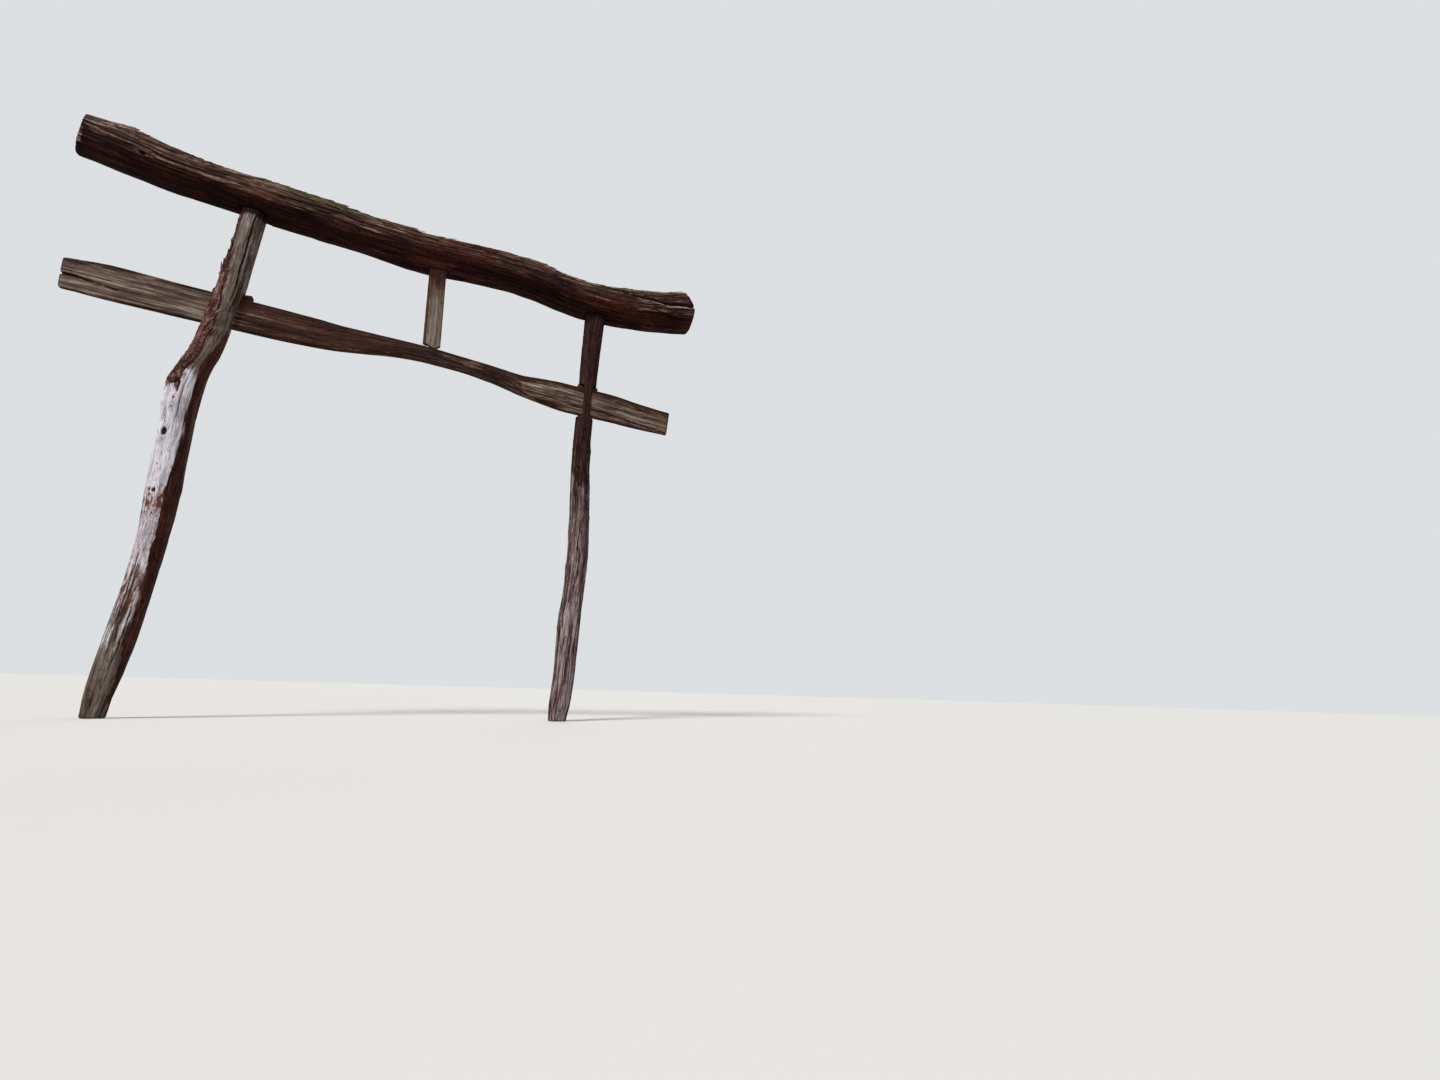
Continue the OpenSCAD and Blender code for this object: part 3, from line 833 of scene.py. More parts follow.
def log_material(name, colours, stretch=16.0, size=1.0, deep=1.0, torn=0.9):
    """Weathered wood, bark, dampness with painted shade, bleached patches (some of them painted light),
    red flecks and moss, each laid on where the piece's own masks ask for it. Wood, bark and the dampness
    with painted shade come in three colours: for the grooves, for the body and for the ridges of the
    fibres. The fibre lines and the grooves get painted shade. deep is how much the fibres stand out, and
    torn how much a pale patch breaks up."""
    material, s, shader = new_material(name)
    fibres = s.placed(FIBRES, Stretch=stretch, Size=size)
    streak, fine, lines = fibres["Streak"], fibres["Fine"], fibres["Lines"]
    relief = s.kept("relief")
    tone = s.weighted((streak, 0.42), (fibres["Band"], 0.26), (fine, 0.32))
    tone = s.math("ADD", tone, s.range(relief, 0.45, 0.95, -0.16, 0.12))
    tone = s.math("MULTIPLY_ADD", fibres["Blotch"], 0.12, s.math("SUBTRACT", tone, 0.06))
    to_body = s.range(tone, 0.18, 0.50)
    to_ridge = s.range(tone, 0.52, 0.86)

    def threefold(kind):
        low = s.mix(to_body, colours[kind + "_dark"], colours[kind])
        return s.mix(to_ridge, low, colours[kind + "_light"])

    def streaky(place, pull, low, high):
        """Share of a patch: its edge breaks up along the fibres."""
        swing = s.math("MULTIPLY", s.math("SUBTRACT", tone, 0.5), pull)
        return s.range(s.math("ADD", s.kept(place), swing), low, high)

    colour = s.mix(s.kept("bark"), threefold("wood"), threefold("bark"))
    paled = s.mix(s.range(tone, 0.2, 0.75), colours["pale_dark"], colours["pale"])
    colour = s.mix(streaky("pale", torn, 0.2, 0.62), colour, paled)
    colour = s.mix(streaky("damp", -0.7, 0.25, 0.70), colour, threefold("damp"))
    flecked = s.math("MULTIPLY_ADD", fibres["Fleck"], 0.7, 0.3)
    colour = s.mix(s.math("MULTIPLY", s.kept("red"), flecked), colour, colours["red"])
    colour = s.mix(streaky("moss", 0.8, 0.3, 0.9), colour, colours["moss"])
    shade = s.math("MULTIPLY_ADD", lines, 0.45, 0.55)
    shade = s.math("MULTIPLY", shade, s.range(relief, 0.05, 0.70, 0.22, 1.0))
    s.feed(shader["Base Color"], s.scaled(colour, shade))
    s.feed(shader["Roughness"], s.range(fine, 0.0, 1.0, 0.90, 0.74))
    shader["Specular IOR Level"].default_value = 0.12
    height = s.weighted((streak, 0.9), (fine, 0.55), (lines, 0.7))
    s.feed(shader["Normal"], s.bump(height, 0.85, 1.3 * MM * deep))
    return material


def end_material(name, light, dark, grime):
    """Sawn end grain, weathered grey and dirty."""
    material, s, shader = new_material(name)
    rings = s.placed(RINGS)
    colour = s.mix(rings["Rings"], dark, light)
    colour = s.mix(s.math("MULTIPLY", rings["Grime"], 0.7), colour, grime)
    shade = s.math("MULTIPLY", s.math("MULTIPLY_ADD", rings["Rays"], 0.4, 0.6),
                   s.range(s.kept("relief"), 0.05, 0.75, 0.3, 1.0))
    s.feed(shader["Base Color"], s.scaled(colour, shade))
    shader["Roughness"].default_value = 0.88
    shader["Specular IOR Level"].default_value = 0.15
    height = s.math("MULTIPLY_ADD", rings["Rays"], 0.8, rings["Rings"])
    s.feed(shader["Normal"], s.bump(height, 0.7, 0.9 * MM))
    return material


def palette(wood, bark, damp, pale, red, moss):
    """Named colours of one kind of timber. Wood, bark, and dampness with painted shade come dark, plain
    and light.
    """
    named = {"pale_dark": srgb(*pale[0]), "pale": srgb(*pale[1]), "red": srgb(*red), "moss": srgb(*moss)}
    for kind, three in (("wood", wood), ("bark", bark), ("damp", damp)):
        for ending, tint in zip(("_dark", "", "_light"), three):
            named[kind + ending] = srgb(*tint)
    return named


DARK_BARK = palette(
    wood=((44, 27, 20), (102, 79, 66), (160, 138, 124)),
    bark=((36, 18, 12), (92, 66, 53), (166, 140, 124)),
    damp=((15, 4, 3), (46, 17, 13), (88, 49, 39)),
    pale=((120, 95, 84), (188, 166, 154)), red=(112, 54, 40), moss=(92, 90, 56))
PALE_LOG = palette(
    wood=((64, 48, 41), (112, 97, 88), (142, 129, 120)),
    bark=((30, 13, 10), (84, 54, 46), (140, 106, 97)),
    damp=((26, 9, 6), (58, 30, 22), (92, 58, 46)),
    pale=((190, 181, 192), (245, 242, 252)), red=(124, 66, 54), moss=(96, 94, 66))
LOOSE_BARK = dict(PALE_LOG, pale_dark=srgb(122, 94, 86), pale=srgb(176, 146, 138))
BARK_LOG = palette(
    wood=((64, 46, 42), (122, 103, 101), (154, 138, 137)),
    bark=((48, 31, 29), (104, 83, 81), (148, 129, 128)),
    damp=((14, 5, 4), (39, 20, 16), (68, 43, 37)),
    pale=((124, 107, 107), (172, 158, 159)), red=(116, 66, 56), moss=(96, 96, 70))
HEWN = palette(
    wood=((58, 42, 34), (106, 89, 79), (138, 122, 111)),
    bark=((28, 13, 9), (66, 42, 32), (102, 75, 61)),
    damp=((17, 6, 4), (46, 26, 19), (76, 50, 39)),
    pale=((124, 107, 96), (168, 155, 143)), red=(102, 56, 42), moss=(96, 92, 60))
BOARD = palette(
    wood=((88, 76, 65), (126, 116, 104), (146, 137, 126)),
    bark=((50, 31, 22), (94, 65, 50), (120, 92, 77)),
    damp=((40, 27, 18), (68, 49, 36), (90, 70, 54)),
    pale=((114, 103, 92), (144, 135, 125)), red=(106, 68, 52), moss=(104, 100, 74))
DARK_WOOD = palette(
    wood=((38, 24, 18), (80, 57, 45), (106, 84, 72)),
    bark=((30, 17, 12), (62, 41, 31), (96, 72, 60)),
    damp=((16, 7, 5), (42, 23, 17), (70, 46, 36)),
    pale=((88, 68, 56), (124, 101, 87)), red=(92, 52, 38), moss=(80, 78, 52))

dark_bark = log_material("dark_bark", DARK_BARK, stretch=18, deep=1.4)
pale_log = log_material("pale_log", PALE_LOG, stretch=18, torn=0.6)
bark_log = log_material("bark_log", BARK_LOG, stretch=20, deep=1.2)
hewn = log_material("hewn_timber", HEWN, stretch=30, deep=0.8)
board_wood = log_material("board", BOARD, stretch=34, size=1.3, deep=0.5)
dark_wood = log_material("wedge", DARK_WOOD, stretch=12, size=1.3)
peg_wood = log_material("peg", HEWN, stretch=10, size=1.6, deep=0.6)
loose_bark = log_material("loose_bark", LOOSE_BARK, stretch=4, deep=1.8)
log_end = end_material("log_end", srgb(112, 92, 78), srgb(66, 48, 40), srgb(44, 32, 27))
beam_end = end_material("beam_end", srgb(122, 98, 84), srgb(76, 56, 48), srgb(64, 44, 38))


# Places and cuts that the pieces share

beam_low, beam_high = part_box("tie_beam")
TENON_SIDE = 38 * MM     # a post's shoulder is read this far to both sides of its tenon
SLOT_REACH = 0.2         # the cutter reaches this far to both sides of a post


def shoulder_of(node):
    """Height of the shoulder that carries the top log."""
    low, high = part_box(node)
    surface = surface_of(node)[0]
    shoulder = 0.0
    for x in np.linspace(low.x, high.x, 40):
        for y in (-TENON_SIDE, TENON_SIDE):
            found = ray(surface, (float(x), y, high.z + 0.1), DOWN)
            if found is not None and found.z > beam_high.z:
                shoulder = max(shoulder, min(found.z, high.z - 30 * MM))
    return shoulder


def slot_box(post, beam, x):
    """The box of the slot for the tie beam, read from the beam's middle outward."""
    z = (beam_low.z + beam_high.z) / 2
    front, back = ray(beam, (x, -OUTSIDE, z), TO_BACK).y, ray(beam, (x, OUTSIDE, z), TO_FRONT).y
    mid = (x, (front + back) / 2, z)
    return ((x - SLOT_REACH, ray(post, mid, TO_FRONT).y, ray(post, mid, DOWN).z),
            (x + SLOT_REACH, ray(post, mid, TO_BACK).y, ray(post, mid, UP).z))


def cut_box(piece, low, high):
    """Cuts a box out of a piece for good."""
    corners = [(x, y, z) for x in (low[0], high[0]) for y in (low[1], high[1])
               for z in (low[2], high[2])]
    faces = [(0, 1, 3, 2), (4, 6, 7, 5), (0, 4, 5, 1), (2, 3, 7, 6), (0, 2, 6, 4), (1, 5, 7, 3)]
    mesh = bpy.data.meshes.new("cutter")
    mesh.from_pydata(corners, [], faces)
    cutter = add_object("cutter", mesh)
    modifier = piece.modifiers.new("slot", "BOOLEAN")
    modifier.operation = "DIFFERENCE"
    modifier.solver = "EXACT"
    modifier.object = cutter
    made_plain(piece, modifier)
    bpy.data.objects.remove(cutter)


def repaint(piece, skin, masks, low, high):
    """Masks and grain again for every vertex after a box was cut, from its place. The
    cut's own walls are plain."""
    co = points_of(piece.data).astype(float)
    tiny = 0.3 * MM
    on_wall = np.ones(len(co), bool)
    for n in (1, 2):
        on_wall &= (co[:, n] > low[n] - tiny) & (co[:, n] < high[n] + tiny)
    r = skin.reading
    s = co[:, r.axis]
    rows, count = skin.s.shape
    row = np.interp(s, skin.nominal, np.arange(rows))
    mid = np.stack([np.interp(row, np.arange(rows), skin.mid[:, 0, n]) for n in (0, 1)], 1)
    rel = co[:, r.across] - mid
    col = (np.arctan2(rel[:, 1], rel[:, 0]) % (2 * np.pi)) / (2 * np.pi) * count
    i = np.clip(np.floor(row).astype(int), 0, rows - 2)
    j = np.floor(col).astype(int) % count
    k = (j + 1) % count
    u, v = row - i, col - np.floor(col)
    for key, grid in masks.items():
        value = ((1 - u) * (1 - v) * grid[i, j] + u * (1 - v) * grid[i + 1, j]
                 + (1 - u) * v * grid[i, k] + u * v * grid[i + 1, k])
        store(piece.data, key, np.where(on_wall, {"relief": 0.35, "bark": 0.3}.get(key, 0.0), value))
    store(piece.data, "grain", np.concatenate([s[:, None], rel], 1))


# Top log

# Places along a piece are given where a zone starts, is full, fades and is gone, or
# where it only starts and is full. Depths and sizes of cracks, knots and checks are
# in millimetres.
LOG_TRIM = (0.08, 0.11)
SEAT_ARC, SEAT_CLEAR = (200, 340), 8 * MM
BOARD_SLOT_ARC, BOARD_SLOT_REACH = (235, 305), 0.13
LOG_MOST = 0.6 * MM      # the most that the bark rises past the CAD's surface
LOG_CRACK = [(1.98, 152), (2.12, 159), (2.26, 171), (2.335, 174), (2.41, 180), (2.49, 189),
             (2.56, 191), (2.64, 194), (2.70, 195)]
LOG_LIP = [(place, deg + 5.5) for place, deg in LOG_CRACK]
LOG_CRACK_LOW = [(2.34, 200), (2.38, 203), (2.46, 214), (2.54, 225), (2.62, 236)]
LOG_SMALL_CRACKS = [
    ([(-0.62, 150), (-0.3, 158), (0.05, 152)], 4, 6),
    ([(-0.55, 186), (-0.25, 190), (-0.1, 188)], 4, 5),
    ([(0.1, 186), (0.5, 181), (0.75, 184)], 4, 7),
    ([(0.95, 158), (1.25, 163), (1.5, 158)], 4, 7),
    ([(1.4, 188), (1.75, 181), (1.95, 186)], 4, 6),
    ([(1.7, 140), (2.1, 128), (2.5, 133)], 4, 7),
    ([(0.3, 60), (0.9, 75), (1.3, 66)], 5, 9),
    ([(-0.4, 30), (0.2, 22), (0.6, 28)], 5, 8),
    ([(1.5, 20), (2.1, 34), (2.6, 30)], 5, 9),
]
LOG_KNOTS = [(-0.43, 205, 18, 4, 8), (0.78, 110, 22, 5, 6), (1.53, 40, 20, 5, 7),
             (2.36, 250, 24, 5, 8), (1.02, 172, 13, 4, 5), (0.35, 300, 15, 4, 5)]
LOG_END_CHECKS = [(195, 1.0, 16), (75, 0.8, 7), (320, 0.75, 6), (140, 0.5, 5), (255, 0.5, 5)]
LOG_LEFT_PART, LOG_RIGHT_PART = (-0.1, 0.5), (2.2, 2.4)
LOG_LIT_HUMP, LOG_LIP_LIT = (1.0, 1.15, 1.45, 1.75), (2.1, 2.3)
LOG_MOSS, LOG_END_MOSS = (0.0, 0.25, 0.4, 0.75), (2.3, 2.5)
LOG_SLIVER_ARC, LOG_SLIVER_REACH = (192, 200, 232, 240), (20 * MM, 30 * MM)
LOG_DAMP_SHADE_END = (335, 350)
LOG_DAMP_SHADE_EDGE = [(-0.72, 180), (-0.67, 183), (-0.64, 202), (-0.56, 206), (-0.44, 207), (-0.36, 203),
                 (-0.28, 199), (-0.20, 195), (-0.02, 206), (0.21, 204), (0.45, 207), (0.76, 196),
                 (1.09, 189), (1.455, 204), (1.71, 197), (1.98, 199), (2.27, 209), (2.50, 214),
                 (2.75, 216)]


def seat_span(surface, x, shoulder):
    """Where the flat seat for a post starts and ends along the log, and its height."""
    found = []
    for at in np.arange(x - 0.12, x + 0.12, 0.5 * MM):
        hit = ray(surface, (float(at), 0, shoulder - 0.3), UP)
        if hit is not None and abs(hit.z - shoulder) < 1 * MM:
            found.append(float(at))
    return min(found), max(found), shoulder


def log_end_dish(share, deg, radius):
    """The sawn end: fine rings, drying checks from the rim inward and a slight wave."""
    turn = np.radians(deg)
    deep = 2 * MM + 0.5 * np.sin(radius / (7 * MM)) * MM
    checks = 0
    for line, reach, depth in LOG_END_CHECKS:
        away = np.radians(turned(deg, line)) * radius
        checks = checks + depth * MM * np.clip(1 - np.abs(away) / (3.5 * MM), 0, 1) * (share > 1 - reach)
    wave = 1.5 * MM * noise(np.cos(turn) * share * 4, np.sin(turn) * share * 4, 0 * deg, 5)
    return np.maximum(0, deep + checks + wave)


def log_masks(skin, height, hearts):
    """Dark bark, dampness and painted shade from below, paler at the left, a painted patch of light on
    the humped stretch and a painted highlight on the crack's lip, and mossy between.
    """
    s, deg = skin.s, skin.degrees
    ragged = skin.grit(0.12, 0.02, 33)
    up = skin.rel[..., 1] / skin.radius
    # The underside past a given edge is dark: dampness and painted shade.
    damp = turned_past(skin, edge_at(LOG_DAMP_SHADE_EDGE, s) + 5 * ragged, 5.0)
    damp = damp * (1 - step(*LOG_DAMP_SHADE_END, deg + 8 * ragged)) * (deg > 120)
    uneven = step(-0.3, 0.5, skin.mottle(0.35, 0.03, 31))
    left_part = 1 - step(*LOG_LEFT_PART, s)
    # A painted patch of light on the upper side of the hump.
    lit_hump = within(*LOG_LIT_HUMP, s) * step(0.1, 0.4, up)
    right_part = step(*LOG_RIGHT_PART, s)
    sliver = (1 - step(*LOG_SLIVER_REACH, skin.from_low)) * within(*LOG_SLIVER_ARC, deg)
    # A painted highlight along the lip above the big crack.
    lip = close_to(edge_at(LOG_LIP, s), 3.0, deg) * step(*LOG_LIP_LIT, s)
    return painted(
        s,
        relief=grooves_to_ridges(-7.5 * MM, 0.6 * MM, height) * (1 - 0.75 * hearts),
        bark=1.0 - 0.3 * step(-0.2, 0.5, up) - sliver,
        pale=(0.16 + 0.26 * left_part + 0.6 * lit_hump - 0.1 * right_part) * uneven
        * step(-0.5, 0.2, up) + 0.7 * sliver + 0.5 * lip,
        damp=damp + 0.35 * right_part * step(-0.5, 0.3, ragged) - sliver,
        red=0.15 + 0.45 * step(0.0, 0.7, skin.mottle(0.3, 0.06, 37)),
        moss=0.75 * within(*LOG_MOSS, s) * step(0.1, 0.5, up)
        + 0.45 * step(*LOG_END_MOSS, s) * step(-0.2, 0.3, up),
        shreds=step(0.0, 0.5, up) * (0.4 + 0.6 * left_part + 0.5 * lit_hump)
        * step(70 * MM, 110 * MM, skin.from_low) * step(80 * MM, 200 * MM, skin.from_high))


def make_top_log(post_heads):
    low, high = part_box("top_log")
    surface = surface_of("top_log")[0]
    seats = [seat_span(surface, x, z) for x, z in post_heads]
    board_x = sum(corner.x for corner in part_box("name_board")) / 2
    cuts = [(a - SEAT_CLEAR, b + SEAT_CLEAR, *SEAT_ARC) for a, b, _ in seats]
    cuts.append((board_x - BOARD_SLOT_REACH, board_x + BOARD_SLOT_REACH, *BOARD_SLOT_ARC))
    rows, count = LOG_GRID
    reading = Reading("top_log", 0, count, low.x, high.x, cuts=cuts, trim=LOG_TRIM)
    skin = Skin(reading, rows, walls=[wall for a, b, _ in seats for wall in (a, b)], cut_ends=True)
    height = bark_relief(skin, 3, strip_wide=26 * MM, strip_long=0.42, big=2.7 * MM, small=1.4 * MM)
    height = height - 2.4 * MM
    cracks = groove(skin, LOG_CRACK, 9 * MM, 30 * MM, open_high=True)
    cracks = cracks + groove(skin, LOG_CRACK_LOW, 5 * MM, 12 * MM)
    lip = groove(skin, LOG_LIP, 9 * MM, -3 * MM, open_high=True)
    height = height + (cracked(skin, cracks, LOG_SMALL_CRACKS) + lip)
    height, hearts = knotted(skin, height, LOG_KNOTS)
    height = np.minimum(height + rim_round(11 * MM, skin.from_rim), LOG_MOST)
    points = skin.points = skin.moved(height)
    for a, b, z in seats:
        cut = (points[..., 0] > a) & (points[..., 0] < b) & (points[..., 2] < z)
        points[..., 2] = np.where(cut, z, points[..., 2])
    masks = skin.masks = log_masks(skin, height, hearts)
    caps = both_ends(skin, points, masks, 12, log_end_dish, relief=0.6, bark=0.2)
    piece = build("top_log_bark", points, masks, skin.grain, dark_bark, caps, log_end)
    finish_piece(piece, "top_log")
    return skin


# Posts

LEFT_MOST, RIGHT_MOST = 2.4 * MM, 2.0 * MM
RIGHT_SLOT_Z = 2.05
UNDER_BEAM_TOP = 0.1     # a post's middle at its slot is read this far below the beam's top
LEFT_LOW_PART, LEFT_SOFT_EDGE, LEFT_SHADE_TOP = (0.98, 1.08), (1.05, 1.2, 1.42, 1.55), (1.93, 2.04)
LEFT_BACK_START, LEFT_BACK_END, LEFT_BACK_FOOT = (34, 50), (180, 196), (0.35, 0.6)
LEFT_BARK_ARC, LEFT_BARK_FOOT = (120, 150), (1.54, 1.64)
LEFT_HEAD, LEFT_HEAD_START, LEFT_HEAD_END = (2.42, 2.5), (150, 180), (236, 246)
LEFT_FLECK_BELT, LEFT_LOW_FLECKS = (0.88, 0.94, 1.06, 1.12), ((0.42, 0.5), (0.60, 0.86))
LEFT_RUST_START, LEFT_RUST_END, LEFT_RUST_ARC = (0.90, 0.95), (1.03, 1.06), (238, 266)
LEFT_SCRAPS, LEFT_TORN_LINE, LEFT_TORN_ARC = (1.1, 1.3, 1.75, 1.85), 1.065, (235, 250, 284, 296)
LEFT_PALE_SUNLIT_START, LEFT_PALE_SUNLIT_END = (1.02, 1.10), (1.60, 1.76)
LEFT_LOW_PALE_START, LEFT_LOW_PALE_END = (0.62, 0.84), (0.88, 0.95)
LEFT_FOOT_PALE, LEFT_HEAD_PALE = (0.24, 0.34, 0.42, 0.5), (2.2, 2.3)
LEFT_PITS, LEFT_PIT_ARC = (1.0, 1.1, 1.3, 1.6), (250, 275)
LEFT_REDDISH, LEFT_HEAD_BARK_SHADE = (0.68, 0.78, 1.02, 1.07), (2.2, 2.42)
LEFT_LOG_SHADOW, RIGHT_LOG_SHADOW = (35 * MM, 75 * MM), (20 * MM, 60 * MM)
RIGHT_SPOT_AT, RIGHT_SPOT_ARC = 0.6, (220, 240, 275, 300)
RIGHT_PALE, RIGHT_PEELED_PALE, RIGHT_DAMP, RIGHT_RED = (0.7, 1.4), (1.2, 1.8), (1.05, 1.75), (1.4, 2.4)
LEFT_SHADE_EDGE = [(0.0, 350), (0.12, 338), (0.25, 316), (0.34, 306), (0.43, 306), (0.52, 304),
                  (0.62, 299), (0.69, 300), (0.76, 295), (0.86, 300), (0.96, 299), (1.05, 291),
                  (1.13, 300), (1.27, 310), (1.37, 314), (1.54, 316), (1.65, 315), (1.72, 312),
                  (1.80, 312), (1.85, 317), (1.90, 327), (1.96, 335), (2.03, 350), (2.9, 360)]
BARK_EDGE = [(1.46, 262), (1.57, 270), (1.67, 271), (1.78, 287), (1.88, 281), (1.97, 282),
             (2.06, 277), (2.17, 266), (2.26, 255), (2.36, 250), (2.476, 237)]
POST_CRACK = [(2.12, 305), (2.194, 303), (2.246, 304), (2.321, 300), (2.413, 299), (2.495, 298),
              (2.588, 297), (2.657, 296), (2.70, 296)]
LEFT_CRACKS = [
    ([(1.15, 232), (1.4, 238), (1.6, 236)], 2.5, 3),
    ([(1.2, 281), (1.5, 286), (1.75, 290)], 2.5, 3),
    ([(0.25, 262), (0.55, 256), (0.8, 262)], 3, 4),
    ([(0.1, 290), (0.35, 296), (0.6, 292)], 3, 4),
    ([(1.95, 312), (2.2, 318), (2.5, 316)], 3, 5),
    ([(0.8, 20), (1.4, 26), (1.8, 18)], 3, 6),
    ([(0.4, 110), (1.1, 120), (1.6, 112)], 3, 6),
]
LEFT_KNOTS = [(1.35, 256, 30, 2.5, 7), (1.31, 256, 8, 0.6, 3), (1.42, 261, 9, 0.6, 2),
              (1.48, 266, 10, 0.8, 2.5), (1.53, 267, 13, 1.0, 2.5), (1.25, 286, 8, 0.6, 3),
              (1.18, 255, 10, 1.0, 4), (1.05, 260, 17, 1.0, 7), (1.052, 242, 14, 1.0, 6),
              (1.058, 228, 11, 1.0, 5), (0.52, 320, 13, 3, 5), (2.36, 200, 12, 3, 4),
              (1.10, 60, 15, 4, 6)]
RIGHT_CRACKS = [
    ([(0.5, 262), (0.9, 256), (1.3, 262)], 2.5, 4),
    ([(1.5, 272), (1.9, 266), (2.3, 270)], 2.5, 4),
    ([(0.2, 300), (0.6, 306), (1.1, 301)], 3, 5),
    ([(2.2, 300), (2.45, 305), (2.7, 302)], 3, 5),
    ([(1.0, 100), (1.7, 112), (2.3, 104)], 3, 6),
]
RIGHT_KNOTS = [(0.91, 200, 13, 3, 4), (1.70, 330, 11, 3, 4), (0.44, 120, 12, 3, 4),
               (2.47, 70, 12, 3, 4), (0.60, 250, 10, 2.5, 3)]


def left_hollow(s, deg):
    """The shallow hollow in the left post under the end of its loose bark."""
    side = np.clip(np.abs(turned(deg, 200)) / 65.0, 0, 1)
    return -6.5 * MM * close_to(1.72, 0.075, s) * (1 - ease(side))


def left_surface(skin):
    """Bare bleached wood in front, with a painted patch of sunlight on it, dark wood, half bark, in
    painted shade at the right, and bark at the back and on the left. A zone of torn, rust-red flecks
    runs round it below the swell, and painted shadow of the top log darkens its head."""
    s, deg = skin.s, skin.degrees
    flake = skin.grit(0.05, 0.02, 61)
    ragged = skin.grit(0.07, 0.02, 63)
    speck = step(0.0, 0.35, skin.grit(0.018, 0.008, 68))
    pits = step(0.42, 0.6, skin.grit(0.022, 0.009, 69)) * (1 - step(*LEFT_PIT_ARC, deg))
    low_part = 1 - step(*LEFT_LOW_PART, s)

    # The dark side is painted shade over wood that is half bark: its edge is sharp, ragged low down and
    # soft along the swell
    line = edge_at(LEFT_SHADE_EDGE, s) + 5 * ragged + 9 * flake * low_part
    soft = 2.0 + 9.0 * within(*LEFT_SOFT_EDGE, s) + 4.0 * low_part
    dark = turned_past(skin, line, soft) * (1 - turned_past(skin, 60 + 12 * ragged, 3.0))
    dark = np.where((deg > 180) | (deg < 80), dark, 0) * (1 - step(*LEFT_SHADE_TOP, s))
    lit = 1 - dark

    # Bark: at the back, under the loose sheet and at the head
    back = step(*LEFT_BACK_START, deg + 10 * ragged) * (1 - step(*LEFT_BACK_END, deg + 14 * ragged))
    on_left = 1 - turned_past(skin, edge_at(BARK_EDGE, s) + 7 * ragged, 3.0)
    on_left = on_left * step(*LEFT_BARK_ARC, deg) * (deg < 320)
    on_left = on_left * step(*LEFT_BARK_FOOT, s + 0.05 * ragged)
    head = step(*LEFT_HEAD, s) * step(*LEFT_HEAD_START, deg)
    head = head * (1 - step(*LEFT_HEAD_END, deg + 6 * ragged))
    bark = dark * 0.5 + back * step(*LEFT_BACK_FOOT, s + 0.1 * ragged) + on_left + head
    bark = np.clip(bark, 0, 1)
    bare = 1 - bark

    # Flecks of old bark: a belt of them, a few low down, and thin scraps above
    fleck_zone = within(*LEFT_FLECK_BELT, s) * lit * (1 - back)
    rusty = step(*LEFT_RUST_START, s + 0.01 * ragged) * (1 - step(*LEFT_RUST_END, s)) * lit
    rusty = rusty * step(*LEFT_RUST_ARC, deg + 12 * flake)
    patches = step(-0.05, 0.25, flake) * fleck_zone * (0.4 + 0.6 * rusty)
    low_zone = step(*LEFT_LOW_FLECKS[0], s) * (1 - step(*LEFT_LOW_FLECKS[1], s + 0.05 * ragged)) * lit
    low_patch = step(0.05, 0.45, skin.grit(0.03, 0.012, 66)) * low_zone
    scraps = step(0.45, 0.6, skin.grit(0.09, 0.02, 67)) * within(*LEFT_SCRAPS, s)
    torn = close_to(LEFT_TORN_LINE, 11 * MM, s + 0.012 * ragged) * step(-0.25, 0.15, flake)
    torn = torn * within(*LEFT_TORN_ARC, deg)

    # Relief
    thick = np.clip(bark + 0.8 * patches + 0.5 * low_patch, 0, 1)
    barky = bark_relief(skin, 23, strip_wide=17 * MM, strip_long=0.16, big=1.5 * MM, small=0.9 * MM)
    woody = (0.35 * MM * ridged(skin.mottle(0.5, 0.012, 71))
             + 0.9 * MM * skin.mottle(0.12, 0.03, 72))
    hollow = left_hollow(s, deg)
    height = thick * (barky + 1.2 * MM) + (1 - thick) * woody - 1.0 * MM + hollow
    height = height + groove(skin, POST_CRACK, 3.8 * MM, 16 * MM, open_high=True)
    height, hearts = knotted(skin, cracked(skin, height, LEFT_CRACKS), LEFT_KNOTS)

    # How pale the bare wood is. Its main pale stretch is bleached wood with a painted patch of sunlight
    # on it.
    pale = step(*LEFT_PALE_SUNLIT_START, s + 0.03 * ragged) * bare
    pale = pale * (1 - step(*LEFT_PALE_SUNLIT_END, s + (deg - 290) * 1.5 * MM + 0.03 * ragged))
    low_pale = step(*LEFT_LOW_PALE_START, s + 0.05 * ragged) * (1 - step(*LEFT_LOW_PALE_END, s))
    pale += low_pale * bare * (1 - 0.3 * speck)
    pale += 0.95 * fleck_zone * (1 - 0.85 * speck) + 0.4 * low_zone * (1 - low_patch) * (1 - 0.6 * speck)
    pale *= 0.85 + 0.15 * step(-0.5, 0.3, skin.mottle(0.2, 0.03, 77))
    pale += 0.28 * within(*LEFT_FOOT_PALE, s) * bare + 0.06 * step(*LEFT_HEAD_PALE, s) * bare
    pale *= (1 - 0.3 * scraps) * (1 - 0.9 * torn) * (1 - 0.6 * pits)
    pale *= lit * (1 - step(0, 70, 70 - np.abs(turned(deg, 100))) * 0.4)
